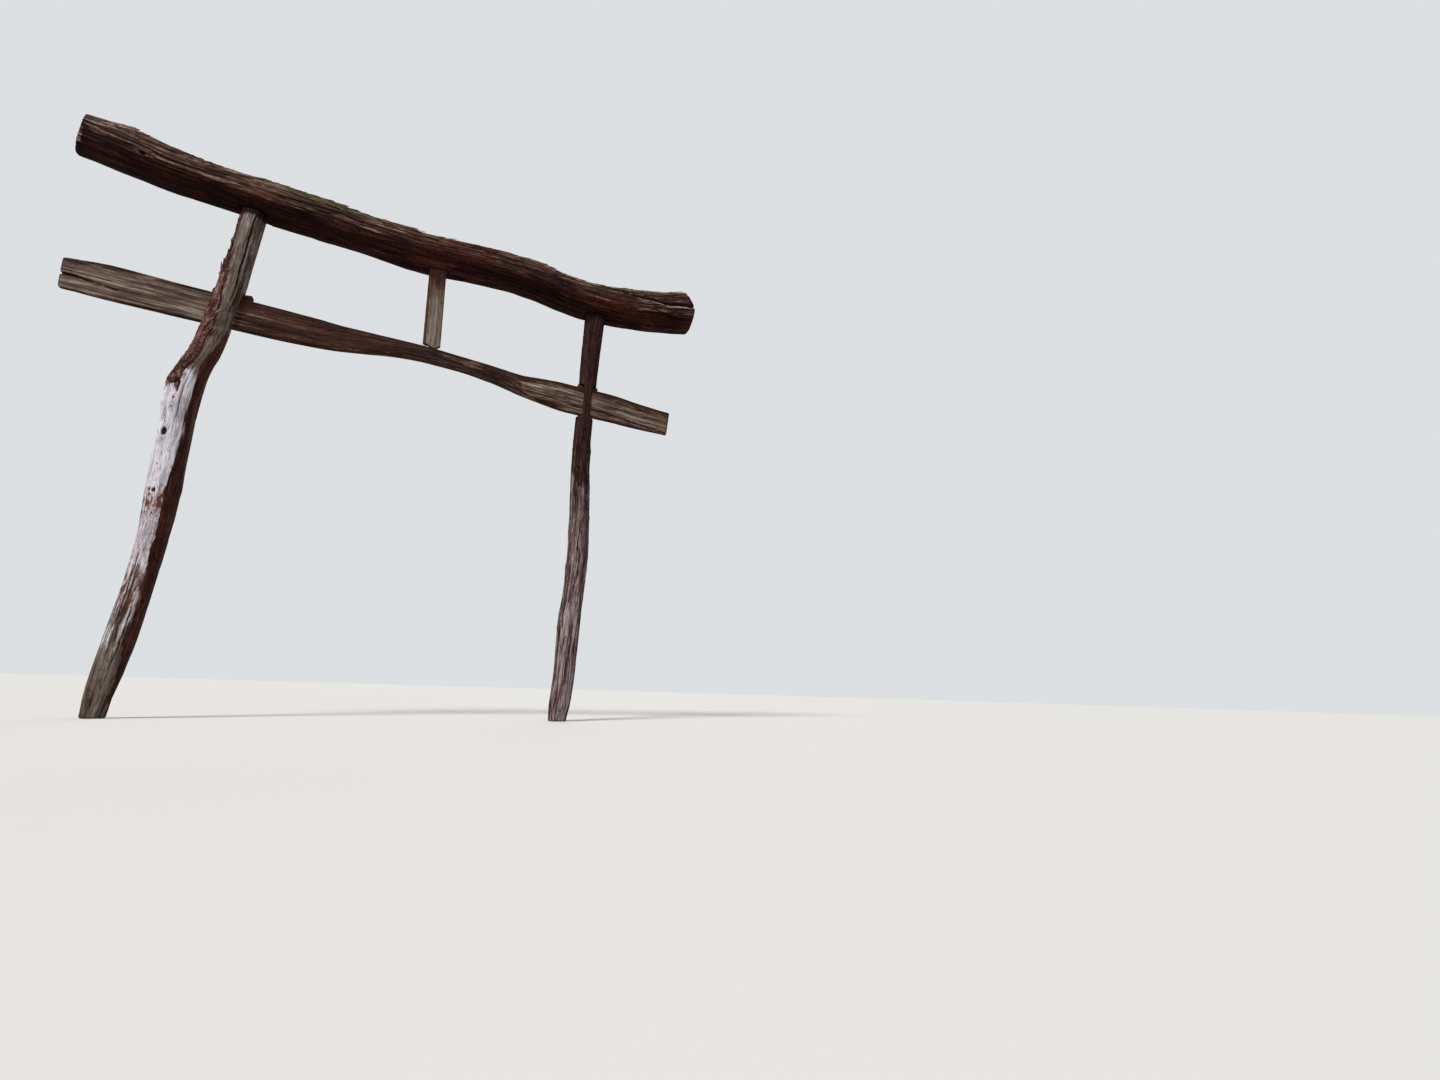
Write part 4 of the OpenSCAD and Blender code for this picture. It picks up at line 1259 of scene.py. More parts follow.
    # Painted shadow of the top log on the head: darker, less pale and with flatter relief.
    log_shadow = 1 - step(*LEFT_LOG_SHADOW, skin.from_high + 10 * MM * ragged)
    return np.minimum(height, LEFT_MOST), painted(
        s,
        relief=grooves_to_ridges(-5.0 * MM, 0.6 * MM, height - hollow)
        * (1 - 0.7 * hearts) * (1 - 0.55 * log_shadow),
        bark=bark + 0.75 * low_patch + 0.5 * patches,
        pale=pale * (1 - 0.85 * hearts) * (1 - patches * 0.55) * (1 - log_shadow),
        damp=0.95 * dark + 0.45 * low_patch * lit + log_shadow + 0.9 * torn
        + 0.5 * fleck_zone * speck * step(0.0, 0.3, flake)
        + 0.5 * pits * within(*LEFT_PITS, s) * bare
        + 0.25 * on_left * step(0.0, 0.6, flake)
        # painted shade on the bark at the head, under the top log
        + 0.7 * on_left * step(*LEFT_HEAD_BARK_SHADE, s + 0.05 * ragged),
        red=(0.6 * patches + 0.5 * rusty) * (0.5 + 0.5 * speck)
        + 0.5 * fleck_zone * speck + 0.4 * scraps
        + 0.3 * on_left + 0.4 * low_zone * lit + 0.25 * dark
        + 0.5 * lit * within(*LEFT_REDDISH, s),
        shreds=np.clip(on_left + 0.4 * head, 0, 1) * step(60 * MM, 90 * MM, skin.from_high))


def right_surface(skin):
    """Thin bark, peeled here and there, lighter at the foot and darker above."""
    s, deg = skin.s, skin.degrees
    ragged = skin.grit(0.1, 0.03, 83)
    peeled = step(0.25, 0.45, skin.grit(0.35, 0.035, 85))
    lines = ridged(skin.mottle(0.5, 0.012, 86))
    barky = bark_relief(skin, 43, strip_wide=15 * MM, strip_long=0.3, big=1.2 * MM, small=0.7 * MM)
    height = barky * (1 - 0.7 * peeled) - peeled * (1.3 * MM - 0.3 * MM * lines) - 0.9 * MM
    height, hearts = knotted(skin, cracked(skin, height, RIGHT_CRACKS), RIGHT_KNOTS)
    # Painted shadow of the top log on the head: darker and with flatter relief.
    log_shadow = 1 - step(*RIGHT_LOG_SHADOW, skin.from_high + 10 * MM * ragged)
    spot = close_to(RIGHT_SPOT_AT, 0.07, s) * within(*RIGHT_SPOT_ARC, deg)
    return np.minimum(height, RIGHT_MOST), painted(
        s,
        relief=grooves_to_ridges(-6 * MM, 0.3 * MM, height)
        * (1 - 0.6 * hearts) * (1 - 0.55 * log_shadow),
        bark=1 - 0.75 * peeled,
        pale=0.2 * peeled * (1 - step(*RIGHT_PEELED_PALE, s)) + 0.4 * spot
        + 0.27 * (1 - step(*RIGHT_PALE, s)),
        damp=0.95 * step(*RIGHT_DAMP, s + 0.15 * ragged),
        red=(0.2 + 0.3 * ragged) * (0.5 + 0.5 * step(*RIGHT_RED, s)),
        shreds=(1 - peeled) * step(0.3, 1.0, s) * step(70 * MM, 110 * MM, skin.from_high)
        * step(0.15, 0.2, np.abs(s - RIGHT_SLOT_Z)))


def make_post(name, node, material, surface, beam):
    """A post from the ground to just inside the top log, with its slot."""
    shoulder = shoulder_of(node)
    rows, count = POST_GRID
    skin = Skin(Reading(node, 2, count, 0.0, shoulder + 4 * MM), rows)
    height, masks = surface(skin)
    points = skin.moved(height + rim_round(6 * MM, skin.from_low))
    caps = both_ends(skin, points, masks, 6, relief=0.6, bark=0.2)
    piece = build(name, points, masks, skin.grain, material, caps, log_end)
    at_slot = np.argmin(np.abs(skin.nominal - beam_high.z + UNDER_BEAM_TOP))
    x = float(skin.mid[at_slot, 0, 0])
    low, high = slot_box(skin.reading.tree, beam, x)
    cut_box(piece, low, high)
    repaint(piece, skin, masks, low, high)
    finish_piece(piece, node)
    skin.points, skin.masks = points, masks
    skin.head = float(skin.mid[-1, 0, 0]), shoulder
    return skin


# Tie beam

BEAM_TRIM = (0.05, 0.05)
BEAM_CRACKS = [
    ([(-0.66, 2.105), (-0.553, 2.089), (-0.496, 2.081), (-0.457, 2.072), (-0.38, 2.062)], 3.5, 16),
    ([(2.0, 2.0), (2.074, 1.992), (2.213, 1.982), (2.357, 1.964), (2.467, 1.952), (2.60, 1.943)], 4, 16),
    ([(-0.20, 2.066), (-0.10, 2.050), (0.0, 2.040)], 2, 4),
    ([(-0.3, 2.128), (-0.1, 2.120), (0.1, 2.112)], 1.6, 3),
    ([(0.2, 2.11), (0.6, 2.135), (0.9, 2.142)], 2, 4),
    ([(0.9, 2.155), (1.2, 2.150), (1.5, 2.120)], 2, 4),
    ([(1.5, 2.09), (1.75, 2.075), (1.93, 2.066)], 2.4, 5),
    ([(2.05, 2.05), (2.25, 2.045), (2.45, 2.03)], 2, 4),
    ([(1.62, 2.03), (1.8, 2.01), (1.95, 2.005)], 2, 4),
]
BEAM_BETWEEN_POSTS, BEAM_FAR_END = (0.05, 0.25, 1.75, 1.9), (1.25, 1.45)
BEAM_REDDISH, BEAM_GREYER_END = (0.02, 0.12, 0.5, 1.1), (0.4, 0.55)
BEAM_SHADED_START, BEAM_SHADED_END = (0.04, 0.09), (0.85, 1.35)
BEAM_PALE_END, BEAM_TOP_LINE_END, BEAM_MOSS = (-0.1, 0.05), (-0.38, -0.28), (2.3, 2.5)
BEAM_LIT_LINE, BEAM_SPOT_X, BEAM_SPOT_Z = (1.45, 1.55, 1.9, 1.95), -0.12, 2.052
BEAM_WORN, BEAM_DARK_BAND, BEAM_WIDE_BAND = (14 * MM, 7 * MM), (16 * MM, 11 * MM), (30 * MM, 20 * MM)
BEAM_KNOTS = [(-0.10, 2.054, 8), (1.30, 2.128, 9), (2.28, 2.06, 8), (0.62, 2.15, 8)]


def beam_crack(s, z, path, width, depth):
    """A drying crack in the beam's front, along a path of (place along, height). It
    thins away at both ends, or at one where the other is at the beam's own end."""
    first, last = path[0][0], path[-1][0]
    line = edge_at(path, s) + 1.0 * MM * wander(s, 0.04, 107)
    span = last - first
    full = np.minimum((s - first) / (0.3 * span), (last - s) / (0.3 * span))
    if first < beam_low.x + 0.05:
        full = (last - s) / (0.5 * span)
    if last > beam_high.x - 0.02:
        full = (s - first) / (0.5 * span)
    full = np.sqrt(np.clip(full, 0, 1))
    return depth * MM * full * np.clip(1 - np.abs(z - line) / (width * MM * full + 1e-6), 0, 1)


def beam_end_dish(share, deg, radius):
    turn = np.radians(deg)
    wave = noise(np.cos(turn) * share * 3, np.sin(turn) * share * 7, 0 * deg, 8)
    return np.maximum(0, 1.2 * MM + 1.2 * MM * wave)


def make_beam():
    rows, count = BEAM_GRID
    reading = Reading("tie_beam", 0, count, beam_low.x, beam_high.x, core=(0.0, 1.0), soften=1.1,
                      trim=BEAM_TRIM)
    skin = Skin(reading, rows, cut_ends=True, fade=0.12)
    s, z = skin.s, skin.pq[..., 1]
    front = step(0.5, 0.85, -skin.out[..., 0])
    topside = step(0.3, 0.8, skin.out[..., 1])
    under = step(0.3, 0.8, -skin.out[..., 1])
    from_top = z.max(1, keepdims=True) - z
    ragged = skin.grit(0.05, 0.02, 105)

    # Relief: adze marks, fibres, a worn top edge and a waney underside
    wavy = skin.mottle(0.35, 0.2, 101, up=0.06)
    lines = ridged(skin.mottle(0.7, 0.006, 102, up=0.008))
    strands = skin.mottle(0.25, 0.005, 103, up=0.006)
    adze = skin.mottle(0.09, 0.3, 104, up=0.07)
    height = (1.3 * wavy + 0.35 * lines + 0.3 * strands + 0.5 * adze) * MM - 1.6 * MM
    height -= close_to(*BEAM_WORN, from_top) * front * (1.5 + 1.2 * ragged) * MM
    waney = under * (0.7 + 0.3 * ragged)
    height += waney * 2.0 * MM * skin.grit(0.12, 0.012, 106)
    for path, width, depth in BEAM_CRACKS:
        height -= beam_crack(s, z, path, width, depth) * (front > 0.3)
    for at, high_z, size in BEAM_KNOTS:
        d = np.hypot((s - at) / 1.4, z - high_z) / (size * MM)
        height += front * (1.6 * MM * np.exp(-d ** 2) - 1.8 * MM * np.exp(-(d / 0.4) ** 4))
    height += rim_round(4 * MM, skin.from_rim) * 0.8
    points = skin.moved(height)

    # Tones: damp and dark under the top edge, painted shade on the front right of the left post, paler
    # ends
    between_posts = within(*BEAM_BETWEEN_POSTS, s)
    far_end = step(*BEAM_FAR_END, s)
    dark_band = close_to(*BEAM_DARK_BAND, from_top) * front
    dark_band = dark_band + 0.7 * close_to(*BEAM_WIDE_BAND, from_top) * front * far_end
    reddish = front * within(*BEAM_REDDISH, s)
    upper_half = step(-0.3, 0.5, skin.rel[..., 1] / 0.09 + 0.5 * ragged)
    shaded = step(*BEAM_SHADED_START, s) * (1 - step(*BEAM_SHADED_END, s + 0.1 * ragged))
    greyer = (1 - upper_half) * (1 - step(*BEAM_GREYER_END, s))
    top_line = close_to(3 * MM, 3 * MM, from_top) * (1 - step(*BEAM_TOP_LINE_END, s))
    lit_line = close_to(62 * MM, 9 * MM, from_top) * within(*BEAM_LIT_LINE, s)
    pale_spot = close_to(BEAM_SPOT_Z, 5 * MM, z) * close_to(BEAM_SPOT_X, 0.05, s)
    masks = painted(
        s,
        relief=grooves_to_ridges(-6 * MM, -0.4 * MM, height),
        bark=0.9 * waney + 0.85 * dark_band * (0.8 + 0.4 * ragged)
        + 0.45 * reddish + 0.25 * between_posts * front + 0.4 * far_end * front,
        pale=0.16 * front * (1 - step(*BEAM_PALE_END, s)) + 0.30 * topside + 0.7 * top_line
        + 0.45 * front * lit_line + 0.75 * front * pale_spot,
        damp=front * (shaded * (1 - 0.35 * greyer) + 0.8 * dark_band * (0.8 + 0.5 * ragged)
                      + 0.36 * far_end)
        + 0.85 * waney + 0.25 * front * between_posts * (1 - upper_half),
        red=0.1 + 0.3 * reddish * (1 - greyer) + 0.3 * waney,
        moss=0.22 * front * step(*BEAM_MOSS, s) + 0.35 * topside)
    caps = both_ends(skin, points, masks, 8, beam_end_dish, relief=0.6, bark=0.2)
    piece = build("tie_beam_hewn", points, masks, skin.grain, hewn, caps, beam_end)
    finish_piece(piece, "tie_beam")


# Name board

BOARD_FOOT = 0.045       # the pointed foot starts below this height of the board
BOARD_FOOT_RINGS = 5
BOARD_CRACKS = [(0.045, 1.4), (0.068, 1.0), (0.03, 1.0)]
BOARD_CRACK_START, BOARD_CRACK_END = (0.0, 0.2), (0.28, 0.5)
BOARD_EDGE = (13 * MM, 20 * MM)
BOARD_DARK_HEAD, BOARD_LOG_SHADOW, BOARD_LOWER = (0.33, 0.44), (0.41, 0.47), (0.02, 0.3)


def board_frame():
    """The board's own leaning frame, from its longest straight edge."""
    mesh = NODES["name_board"].data
    longest = Vector((0, 0, 0))
    for edge in mesh.edges:
        a, b = (mesh.vertices[n].co for n in edge.vertices)
        if (b - a).length > longest.length and abs((b - a).z) > 0.9 * (b - a).length:
            longest = b - a if b.z > a.z else a - b
    lean = math.atan2(-longest.x, longest.z)
    low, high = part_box("name_board")
    foot = Vector(((low.x + high.x) / 2, (low.y + high.y) / 2, low.z))
    return Matrix.Translation(foot) @ Matrix.Rotation(-lean, 4, "Y")


def foot_of_board(reading, across, y):
    """Height of the pointed foot at each place across the board."""
    found = [ray(reading.tree, (float(x), y, -0.2), UP) for x in across]
    return filled(np.array([np.nan if spot is None else spot.z for spot in found]))


def foot_cap(points, masks, foot_at):
    """Rings that close the pointed foot from below."""
    rim = points[0]
    x, y = rim.mean(0)[:2]
    rings = []
    for n in range(1, BOARD_FOOT_RINGS + 1):
        share = 1 - n / (BOARD_FOOT_RINGS + 1.0)
        ring = rim.copy()
        ring[:, 0] = x + (rim[:, 0] - x) * (0.6 + 0.4 * share)
        ring[:, 1] = y + (rim[:, 1] - y) * share
        ring[:, 2] = foot_at(ring[:, 0]) + 1.0 * MM * (1 - share)
        rings.append(ring)
    rings = np.array(rings)
    tones = {key: np.full(rings.shape[:2], 0.6 if key == "relief" else 0.1) for key in masks}
    heart = np.array([x, y, float(foot_at(x)) + 1 * MM])
    return True, rings, tones, rings[..., [2, 0, 1]], heart, np.array([0, x, y])


def make_board():
    lean = board_frame()
    rows, count = BOARD_GRID
    corners = np.array(surface_of("name_board", lean.inverted())[1])
    low, high = corners.min(0), corners.max(0)
    reading = Reading("name_board", 2, count, BOARD_FOOT, high[2], core=(1.0, 0.0), lean=lean,
                      every=0.01, soften=0.8)
    across = np.linspace(low[0] + 0.5 * MM, high[0] - 0.5 * MM, 60)
    foot = foot_of_board(reading, across, (low[1] + high[1]) / 2)

    def foot_at(x):
        return np.interp(x, across, foot)

    def down_to_foot(skin):
        share = 1 - np.clip(skin.from_low / 0.1, 0, 1)
        return share * (foot_at(skin.pq[..., 0]) - reading.low)

    skin = Skin(reading, rows, shift=down_to_foot)
    s, x, y = skin.s, skin.pq[..., 0], skin.pq[..., 1]
    front = step(0.4, 0.9, -skin.out[..., 1])
    lines = ridged(noise(s / 0.6, x / 0.004, y / 0.01, 121))
    wavy = noise(s / 0.25, x / 0.03, y / 0.05, 122)
    left_edge = 1 - step(*BOARD_EDGE, x - low[0] + 4 * MM * wander(s, 0.06, 124))
    height = (0.22 * lines + 0.5 * wavy) * MM - 0.8 * MM
    height += left_edge * 1.6 * MM * rough(s / 0.04, x / 0.008, y / 0.008, 123)
    for from_edge, width in BOARD_CRACKS:
        line = low[0] + from_edge + 2.0 * MM * wander(s, 0.15, int(width * 100))
        fade = step(*BOARD_CRACK_START, s) if width < 1.2 else 1 - step(*BOARD_CRACK_END, s)
        height -= front * fade * 1.6 * MM * np.clip(1 - np.abs(x - line) / (width * MM), 0, 1)
    height += rim_round(2 * MM, skin.from_low)
    points = skin.moved(height)
    head = step(*BOARD_DARK_HEAD, s + 0.03 * wavy + 0.04 * lines)
    lower = 1 - step(*BOARD_LOWER, s + 0.05 * wavy)
    masks = painted(
        s,
        relief=grooves_to_ridges(-3 * MM, 0.0, height),
        bark=left_edge * 0.95 + 0.9 * head * front + 0.3 * (1 - front),
        pale=(0.3 + 0.35 * lower) * front * (1 - left_edge) * (1 - head),
        # painted shadow of the top log over the board's head
        damp=0.9 * step(*BOARD_LOG_SHADOW, s + 0.02 * lines) + left_edge,
        red=left_edge * 0.3 + 0.12 + 0.55 * head + 0.15 * lower)
    caps = [foot_cap(points, masks, foot_at), end_cap(skin, points, masks, False, 3, None, relief=0.6)]
    piece = build("name_board_bare", points, masks, skin.grain, board_wood, caps, beam_end)
    piece.data.transform(lean)
    finish_piece(piece, "name_board")


# Wedges and pegs

def make_small(node, axis, material, grid, seed, rough_mm):
    """A wedge or a peg: split and whittled wood with rounded ends."""
    low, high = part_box(node)
    rows, count = grid
    skin = Skin(Reading(node, axis, count, low[axis], high[axis], every=0.006, soften=0.8), rows)
    s, p, q = skin.s, skin.pq[..., 0], skin.pq[..., 1]
    height = rough_mm * MM * (rough(s / 0.03, p / 0.012, q / 0.012, seed) - 0.6)
    height += 0.4 * rough_mm * MM * noise(s / 0.08, p / 0.004, q / 0.004, seed + 3)
    height += rim_round(2.5 * MM, skin.from_rim)
    points = skin.moved(height)
    masks = painted(s, relief=grooves_to_ridges(-2.2 * rough_mm * MM, 0.2 * MM, height),
                    bark=0.4, red=0.3)
    caps = both_ends(skin, points, masks, 4, relief=0.5)
    finish_piece(build(node + "_worked", points, masks, skin.grain, material, caps), node)


# Loose bark on the left post

SHEET_ARC = (168.0, 300.0)
SHEET_MOST = 6.8 * MM
SHEET_LEFT_EDGE, SHEET_FOOT, SHEET_HEAD = 178, 1.60, 0.03
SHEET_PALE_END, SHEET_HEAD_SHADE = (2.1, 2.3), (2.15, 2.4)


def fold_ends(rows, count):
    """Faces that join the front to the back of a folded sheet at its two ends."""
    j = np.arange(count // 2 - 1)
    quads = np.stack([j, count - 1 - j, count - 2 - j, j + 1], 1)
    return np.concatenate([quads, quads[:, ::-1] + (rows - 1) * count])


def make_loose_bark(post):
    """A ragged sheet that stands off the wood and thins away at its edges. It is one
    loop of points: the outer face, and back along the inner one."""
    low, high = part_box("bark_left")
    rows, columns = SHEET_GRID
    s = np.linspace(low.z + 2 * MM, high.z - 2 * MM, rows)[:, None]
    deg = np.linspace(*SHEET_ARC, columns)[None, :]
    at = np.interp(s[:, 0], post.nominal, np.arange(len(post.nominal)))
    ring = resample(post.pq, at)
    mid = resample(post.mid[:, 0], at)[:, None]
    count = ring.shape[1]
    col = deg[0] / 360.0 * count
    j = np.floor(col).astype(int)
    t = (col - j)[None, :, None]
    base = ring[:, j % count] * (1 - t) + ring[:, (j + 1) % count] * t
    rel = base - mid
    out = rel / np.linalg.norm(rel, axis=2)[..., None]
    s, deg = np.broadcast_arrays(s, deg)
    p, q = rel[..., 0], rel[..., 1]

    # How far a place lies inside the torn edge, and how thick the bark is there
    ragged = rough(s / 0.06, p / 0.016, q / 0.016, 141, 4)
    inside = np.minimum((edge_at(BARK_EDGE, s) - deg) / 9.0 + 0.9 * ragged,
                        (deg - SHEET_LEFT_EDGE) / 10.0 + 0.8 * ragged)
    inside = np.minimum(inside, (s - SHEET_FOOT) / 0.05 + 0.9 * ragged)
    inside = np.minimum(inside, (high.z - SHEET_HEAD - s) / 0.05 + 0.9 * ragged)
    holes = step(0.42, 0.62, rough(s / 0.12, p / 0.02, q / 0.02, 143))
    share = step(-0.1, 0.9, inside) * (1 - 0.9 * holes)
    sway = 0.012 * noise(s / 0.04, p / 0.02, q / 0.02, 144)
    seam, own = strips(deg / 360 + sway, s / 0.032, 50, 145)
    lumps = rough(s / 0.017, p / 0.010, q / 0.010, 147)
    thick = 6.2 * MM * (0.45 + 0.35 * own + 0.3 * lumps) - 2.2 * MM * (1 - step(0, 0.3, seam))
    height = share * np.maximum(thick, 0.8 * MM) - (1 - share) * 2.5 * MM
    height = np.minimum(height, SHEET_MOST) + left_hollow(s, deg)

    def looped(front, back=None):
        return np.concatenate([front, (front if back is None else back)[:, ::-1]], 1)

    pq = looped(base + out * height[..., None], base + out * (left_hollow(s, deg) - 3.5 * MM)[..., None])
    height, rel, s = looped(height), looped(rel), looped(s)
    points = np.concatenate([pq, s[..., None]], 2)
    p, q = rel[..., 0], rel[..., 1]
    light = step(0.1, 0.5, rough(s / 0.09, p / 0.01, q / 0.01, 149))
    masks = painted(
        s,
        relief=grooves_to_ridges(-1.5 * MM, 4.5 * MM, height),
        bark=1.0,
        pale=0.22 * light * (1 - step(*SHEET_PALE_END, s)),
        damp=0.4 * step(0.0, 0.5, rough(s / 0.05, p / 0.012, q / 0.012, 151))
        # painted shade towards the head, under the top log
        + 0.75 * step(*SHEET_HEAD_SHADE, s),
        red=0.25 + 0.3 * light)
    grain = np.concatenate([s[..., None], rel], 2)
    piece = build("bark_left_shaggy", points, masks, grain, loose_bark, closing=fold_ends(*s.shape))
    finish_piece(piece, "bark_left")


# Shreds of bark

LOG_SHREDS = {"Density": 1900.0, "Length": 0.10, "Width": 2.6 * MM, "Lift": 5.5 * MM,
              "Askew": 0.14, "Seed": 5}
LEFT_SHREDS = {"Density": 2600.0, "Length": 0.07, "Width": 4.2 * MM, "Lift": 4.5 * MM,
               "Askew": 0.3, "Seed": 11}
RIGHT_SHREDS = {"Density": 600.0, "Length": 0.08, "Width": 2.8 * MM, "Lift": 2.4 * MM,
                "Askew": 0.1, "Seed": 17}


def shred_tree():
    """Thin bent blades scattered over a surface. Each starts in the bark, lies along
    the grain and lifts off towards its tip."""
    tree = bpy.data.node_groups.new("Shreds", "GeometryNodeTree")
    inputs = [("Surface", "Geometry")]
    inputs += [(label, "Float") for label in ("Density", "Length", "Width", "Lift", "Askew")]
    for label, kind in inputs + [("Seed", "Int"), ("Material", "Material")]:
        tree.interface.new_socket(label, in_out="INPUT", socket_type="NodeSocket" + kind)
    tree.interface.new_socket("Blades", in_out="OUTPUT", socket_type="NodeSocketGeometry")
    s = Sketch(tree)
    ins, outs = s.node("NodeGroupInput").outputs, s.node("NodeGroupOutput").inputs

    def named(label, kind):
        made = s.node("GeometryNodeInputNamedAttribute", data_type=kind)
        made.inputs["Name"].default_value = label
        return made.outputs["Attribute"]

    def chance(low, high, seed):
        made = s.node("FunctionNodeRandomValue", data_type="FLOAT")
        s.fed(made, {2: low, 3: high, "Seed": s.math("ADD", ins["Seed"], seed)})
        return made.outputs[1]

    # Where blades grow
    spread = s.node("GeometryNodeDistributePointsOnFaces", distribute_method="RANDOM")
    density = s.math("MULTIPLY", ins["Density"], named("shreds", "FLOAT"))
    s.fed(spread, {"Mesh": ins["Surface"], "Density": density, "Seed": ins["Seed"]})

    # One blade: a bent line with a flat section that tapers to its tip
    line = s.fed(s.node("GeometryNodeCurvePrimitiveLine"), {"End": (1, 0, 0)})
    parts = s.fed(s.node("GeometryNodeResampleCurve"), {"Curve": line, "Count": 6})
    along = s.node("GeometryNodeSplineParameter").outputs["Factor"]
    aside = s.math("MULTIPLY", s.math("SINE", s.math("MULTIPLY", along, 4.0)), 1.2)
    lifted = s.math("SUBTRACT", s.math("POWER", along, 1.7), 0.22)
    bent = s.fed(s.node("GeometryNodeSetPosition"),
                 {"Geometry": parts, "Offset": s.combine(0.0, aside, lifted)})
    narrower = s.math("SUBTRACT", 1.0, s.math("MULTIPLY", along, 0.75))
    taper = s.fed(s.node("GeometryNodeSetCurveRadius"), {"Curve": bent, "Radius": narrower})
    section = s.fed(s.node("GeometryNodeCurvePrimitiveQuadrilateral"), {"Width": 1.0, "Height": 0.22})
    blade = s.fed(s.node("GeometryNodeCurveToMesh"),
                  {"Curve": taper, "Profile Curve": section, "Fill Caps": True})

    # How it lies: along the grain, up from the bark, and a little askew
    lie = s.fed(s.node("FunctionNodeAlignRotationToVector", axis="X"),
                {"Vector": named("way", "FLOAT_VECTOR")})
    stand = s.fed(s.node("FunctionNodeAlignRotationToVector", axis="Z", pivot_axis="X"),
                  {"Rotation": lie, "Vector": spread.outputs["Normal"]})
    askew = s.combine(0.0, 0.0, s.math("MULTIPLY", ins["Askew"], chance(-1.0, 1.0, 5)))
    swing = s.fed(s.node("FunctionNodeEulerToRotation"), {0: askew})
    turn = s.fed(s.node("FunctionNodeRotateRotation", rotation_space="LOCAL"),
                 {"Rotation": stand, "Rotate By": swing})
    size = s.combine(s.math("MULTIPLY", ins["Length"], chance(0.35, 1.0, 1)),
                     s.math("MULTIPLY", ins["Width"], chance(0.4, 1.0, 2)),
                     s.math("MULTIPLY", ins["Lift"], chance(0.3, 1.0, 3)))
    placed = s.fed(s.node("GeometryNodeInstanceOnPoints"),
                   {"Points": spread.outputs["Points"], "Instance": blade,
                    "Rotation": turn, "Scale": size})
    real = s.fed(s.node("GeometryNodeRealizeInstances"), {"Geometry": placed})
    blades = s.fed(s.node("GeometryNodeSetMaterial"), {"Geometry": real, "Material": ins["Material"]})
    s.feed(outs["Blades"], blades)
    return tree


def make_shreds(name, skin, material, tree, sizes):
    """Bark shreds over one log as one plain mesh, kept within the CAD box. Each lies
    towards the spot on the log that its tip reaches."""
    rows = len(skin.points)
    apart = np.linalg.norm(np.diff(skin.points, axis=0), axis=2).mean()
    reach = max(1, int(round(0.6 * sizes["Length"] / apart)))
    start = np.minimum(np.arange(rows), rows - 1 - reach)
    way = skin.points[start + reach] - skin.points[start]
    way /= np.maximum(np.linalg.norm(way, axis=2, keepdims=True), 1e-9)
    host = build(name, skin.points, skin.masks, skin.grain, material)
    store(host.data, "way", way.reshape(-1, 3))
    modifier = host.modifiers.new("shreds", "NODES")
    modifier.node_group = tree
    values = {**sizes, "Material": material}
    for item in tree.interface.items_tree:
        if item.in_out == "INPUT" and item.name in values:
            modifier[item.identifier] = values[item.name]
    blades = made_plain(host, modifier)
    co = np.clip(points_of(blades), np.array(cad_box[0]) + MM, np.array(cad_box[1]) - MM)
    blades.vertices.foreach_set("co", co.reshape(-1))
    relief = np.full(len(blades.vertices), 0.85, np.float32)
    blades.attributes["relief"].data.foreach_set("value", relief)
    blades.update()
    finish_piece(host, None)


# Camera, light and floor

FLOOR_REACH = 60
FLOOR_SEEN, FLOOR_COLOUR = (0.66, 0.66, 0.65, 1), (0.34, 0.34, 0.33, 1)
SKY_SEEN, SKY_COLOUR = (0.72, 0.74, 0.76, 1), (0.38, 0.375, 0.37, 1)
# Each lamp's place, what it aims at, how many degrees wide it is, its strength and colour
LAMPS = {"key": ((-6.3, -5.1, 11.4), (1.0, 0.0, 1.4), 16, 3.1, (1.0, 0.975, 0.94)),
         "fill": ((4.5, -8.0, 4.0), (1.2, 0.0, 1.5), 40, 0.36, (1.0, 0.98, 0.96)),
         "back": ((3.5, 8.5, 8.0), (1.2, 0.0, 1.5), 40, 0.46, (1.0, 0.99, 0.98))}


def make_camera():
    yaw, pitch, roll = CAMERA_YAW, CAMERA_PITCH, CAMERA_ROLL
    ahead = Vector((math.sin(yaw) * math.cos(pitch), math.cos(yaw) * math.cos(pitch), math.sin(pitch)))
    level = Vector((math.cos(yaw), -math.sin(yaw), 0))
    up = level.cross(ahead)
    right = level * math.cos(roll) + up * math.sin(roll)
    top = up * math.cos(roll) - level * math.sin(roll)
    data = bpy.data.cameras.new("camera")
    data.sensor_width = SENSOR
    data.lens = FOCAL_PX * SENSOR / PHOTO_W
    data.clip_start = 0.05
    camera = add_object("camera", data)
    turn = Matrix((right, top, -ahead)).transposed().to_4x4()
    camera.matrix_world = Matrix.Translation(CAMERA_AT) @ turn
    bpy.context.scene.camera = camera


def make_lamp(name, at, aim, spread, strength, colour):
    """A broad far lamp: its light is even over the whole floor."""
    data = bpy.data.lights.new(name, "SUN")
    data.angle = math.radians(spread)
    data.energy = strength
    data.color = colour
    lamp = add_object(name, data)
    way = Vector(aim) - Vector(at)
    lamp.matrix_world = Matrix.Translation(at) @ way.to_track_quat("-Z", "Y").to_matrix().to_4x4()


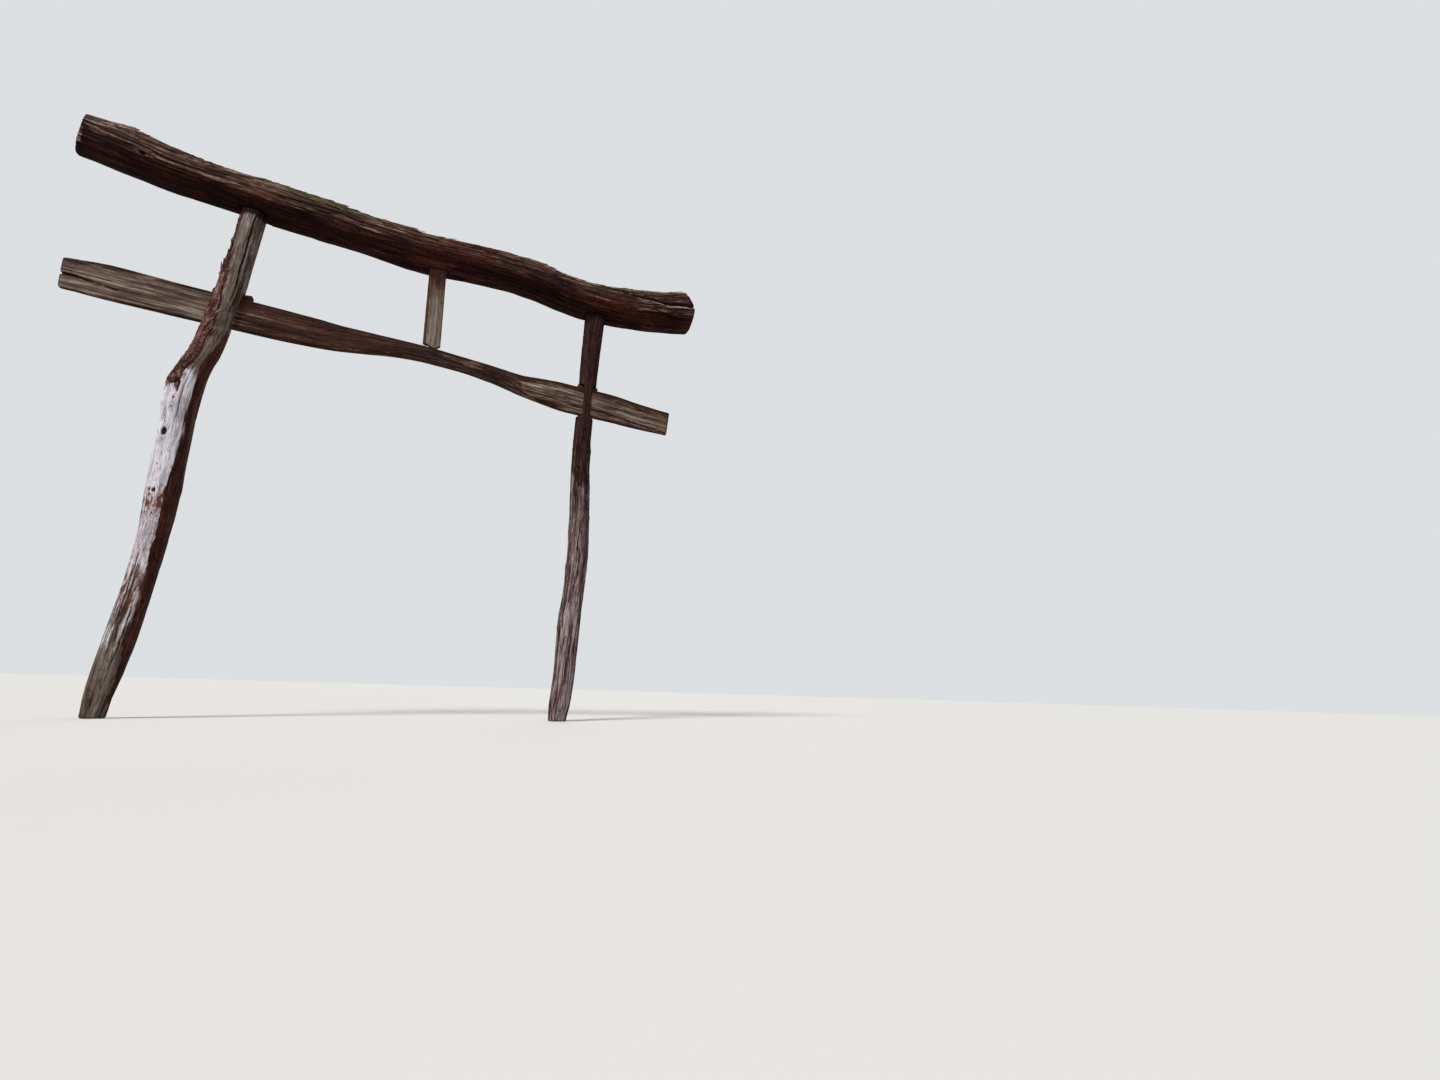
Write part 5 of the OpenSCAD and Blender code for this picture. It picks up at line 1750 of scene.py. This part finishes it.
def seen_by_camera(tree, seen, others):
    """One colour where the camera looks straight at it and another for its light."""
    s = Sketch(tree)
    straight = s.node("ShaderNodeLightPath").outputs["Is Camera Ray"]
    return s.mix(straight, others, seen)


def make_stage():
    mesh = bpy.data.meshes.new("floor")
    a = FLOOR_REACH
    mesh.from_pydata([(-a, -a, 0), (a, -a, 0), (a, a, 0), (-a, a, 0)], [], [(0, 1, 2, 3)])
    floor = add_object("floor", mesh)
    material, s, shader = new_material("floor")
    s.feed(shader["Base Color"], seen_by_camera(s.tree, FLOOR_SEEN, FLOOR_COLOUR))
    shader["Roughness"].default_value = 0.9
    mesh.materials.append(material)
    world = bpy.data.worlds.new("studio")
    world.use_nodes = True
    background = world.node_tree.nodes["Background"]
    tint = seen_by_camera(world.node_tree, SKY_SEEN, SKY_COLOUR)
    world.node_tree.links.new(tint, background.inputs["Color"])
    background.inputs["Strength"].default_value = 1.0
    bpy.context.scene.world = world
    bpy.context.scene.view_settings.view_transform = "Standard"
    for name, settings in LAMPS.items():
        make_lamp(name, *settings)


make_camera()
make_stage()

beam_surface = surface_of("tie_beam")[0]
left = make_post("post_left_weathered", "post_left", pale_log, left_surface, beam_surface)
right = make_post("post_right_barked", "post_right", bark_log, right_surface, beam_surface)
top_log = make_top_log([left.head, right.head])
make_beam()
make_board()
for n, node in enumerate(("wedge_left_outer", "wedge_left_inner",
                          "wedge_right_inner", "wedge_right_outer")):
    make_small(node, 0, dark_wood, WEDGE_GRID, 160 + 7 * n, 1.4)
for n, node in enumerate(("peg_left", "peg_right", "peg_board")):
    make_small(node, 1, peg_wood, PEG_GRID, 190 + 7 * n, 0.5)
make_loose_bark(left)

blades = shred_tree()
make_shreds("top_log_shreds", top_log, dark_bark, blades, LOG_SHREDS)
make_shreds("post_left_shreds", left, loose_bark, blades, LEFT_SHREDS)
make_shreds("post_right_shreds", right, bark_log, blades, RIGHT_SHREDS)

for piece in NODES.values():
    piece.data.materials.clear()
    piece.data.materials.append(dark_wood)
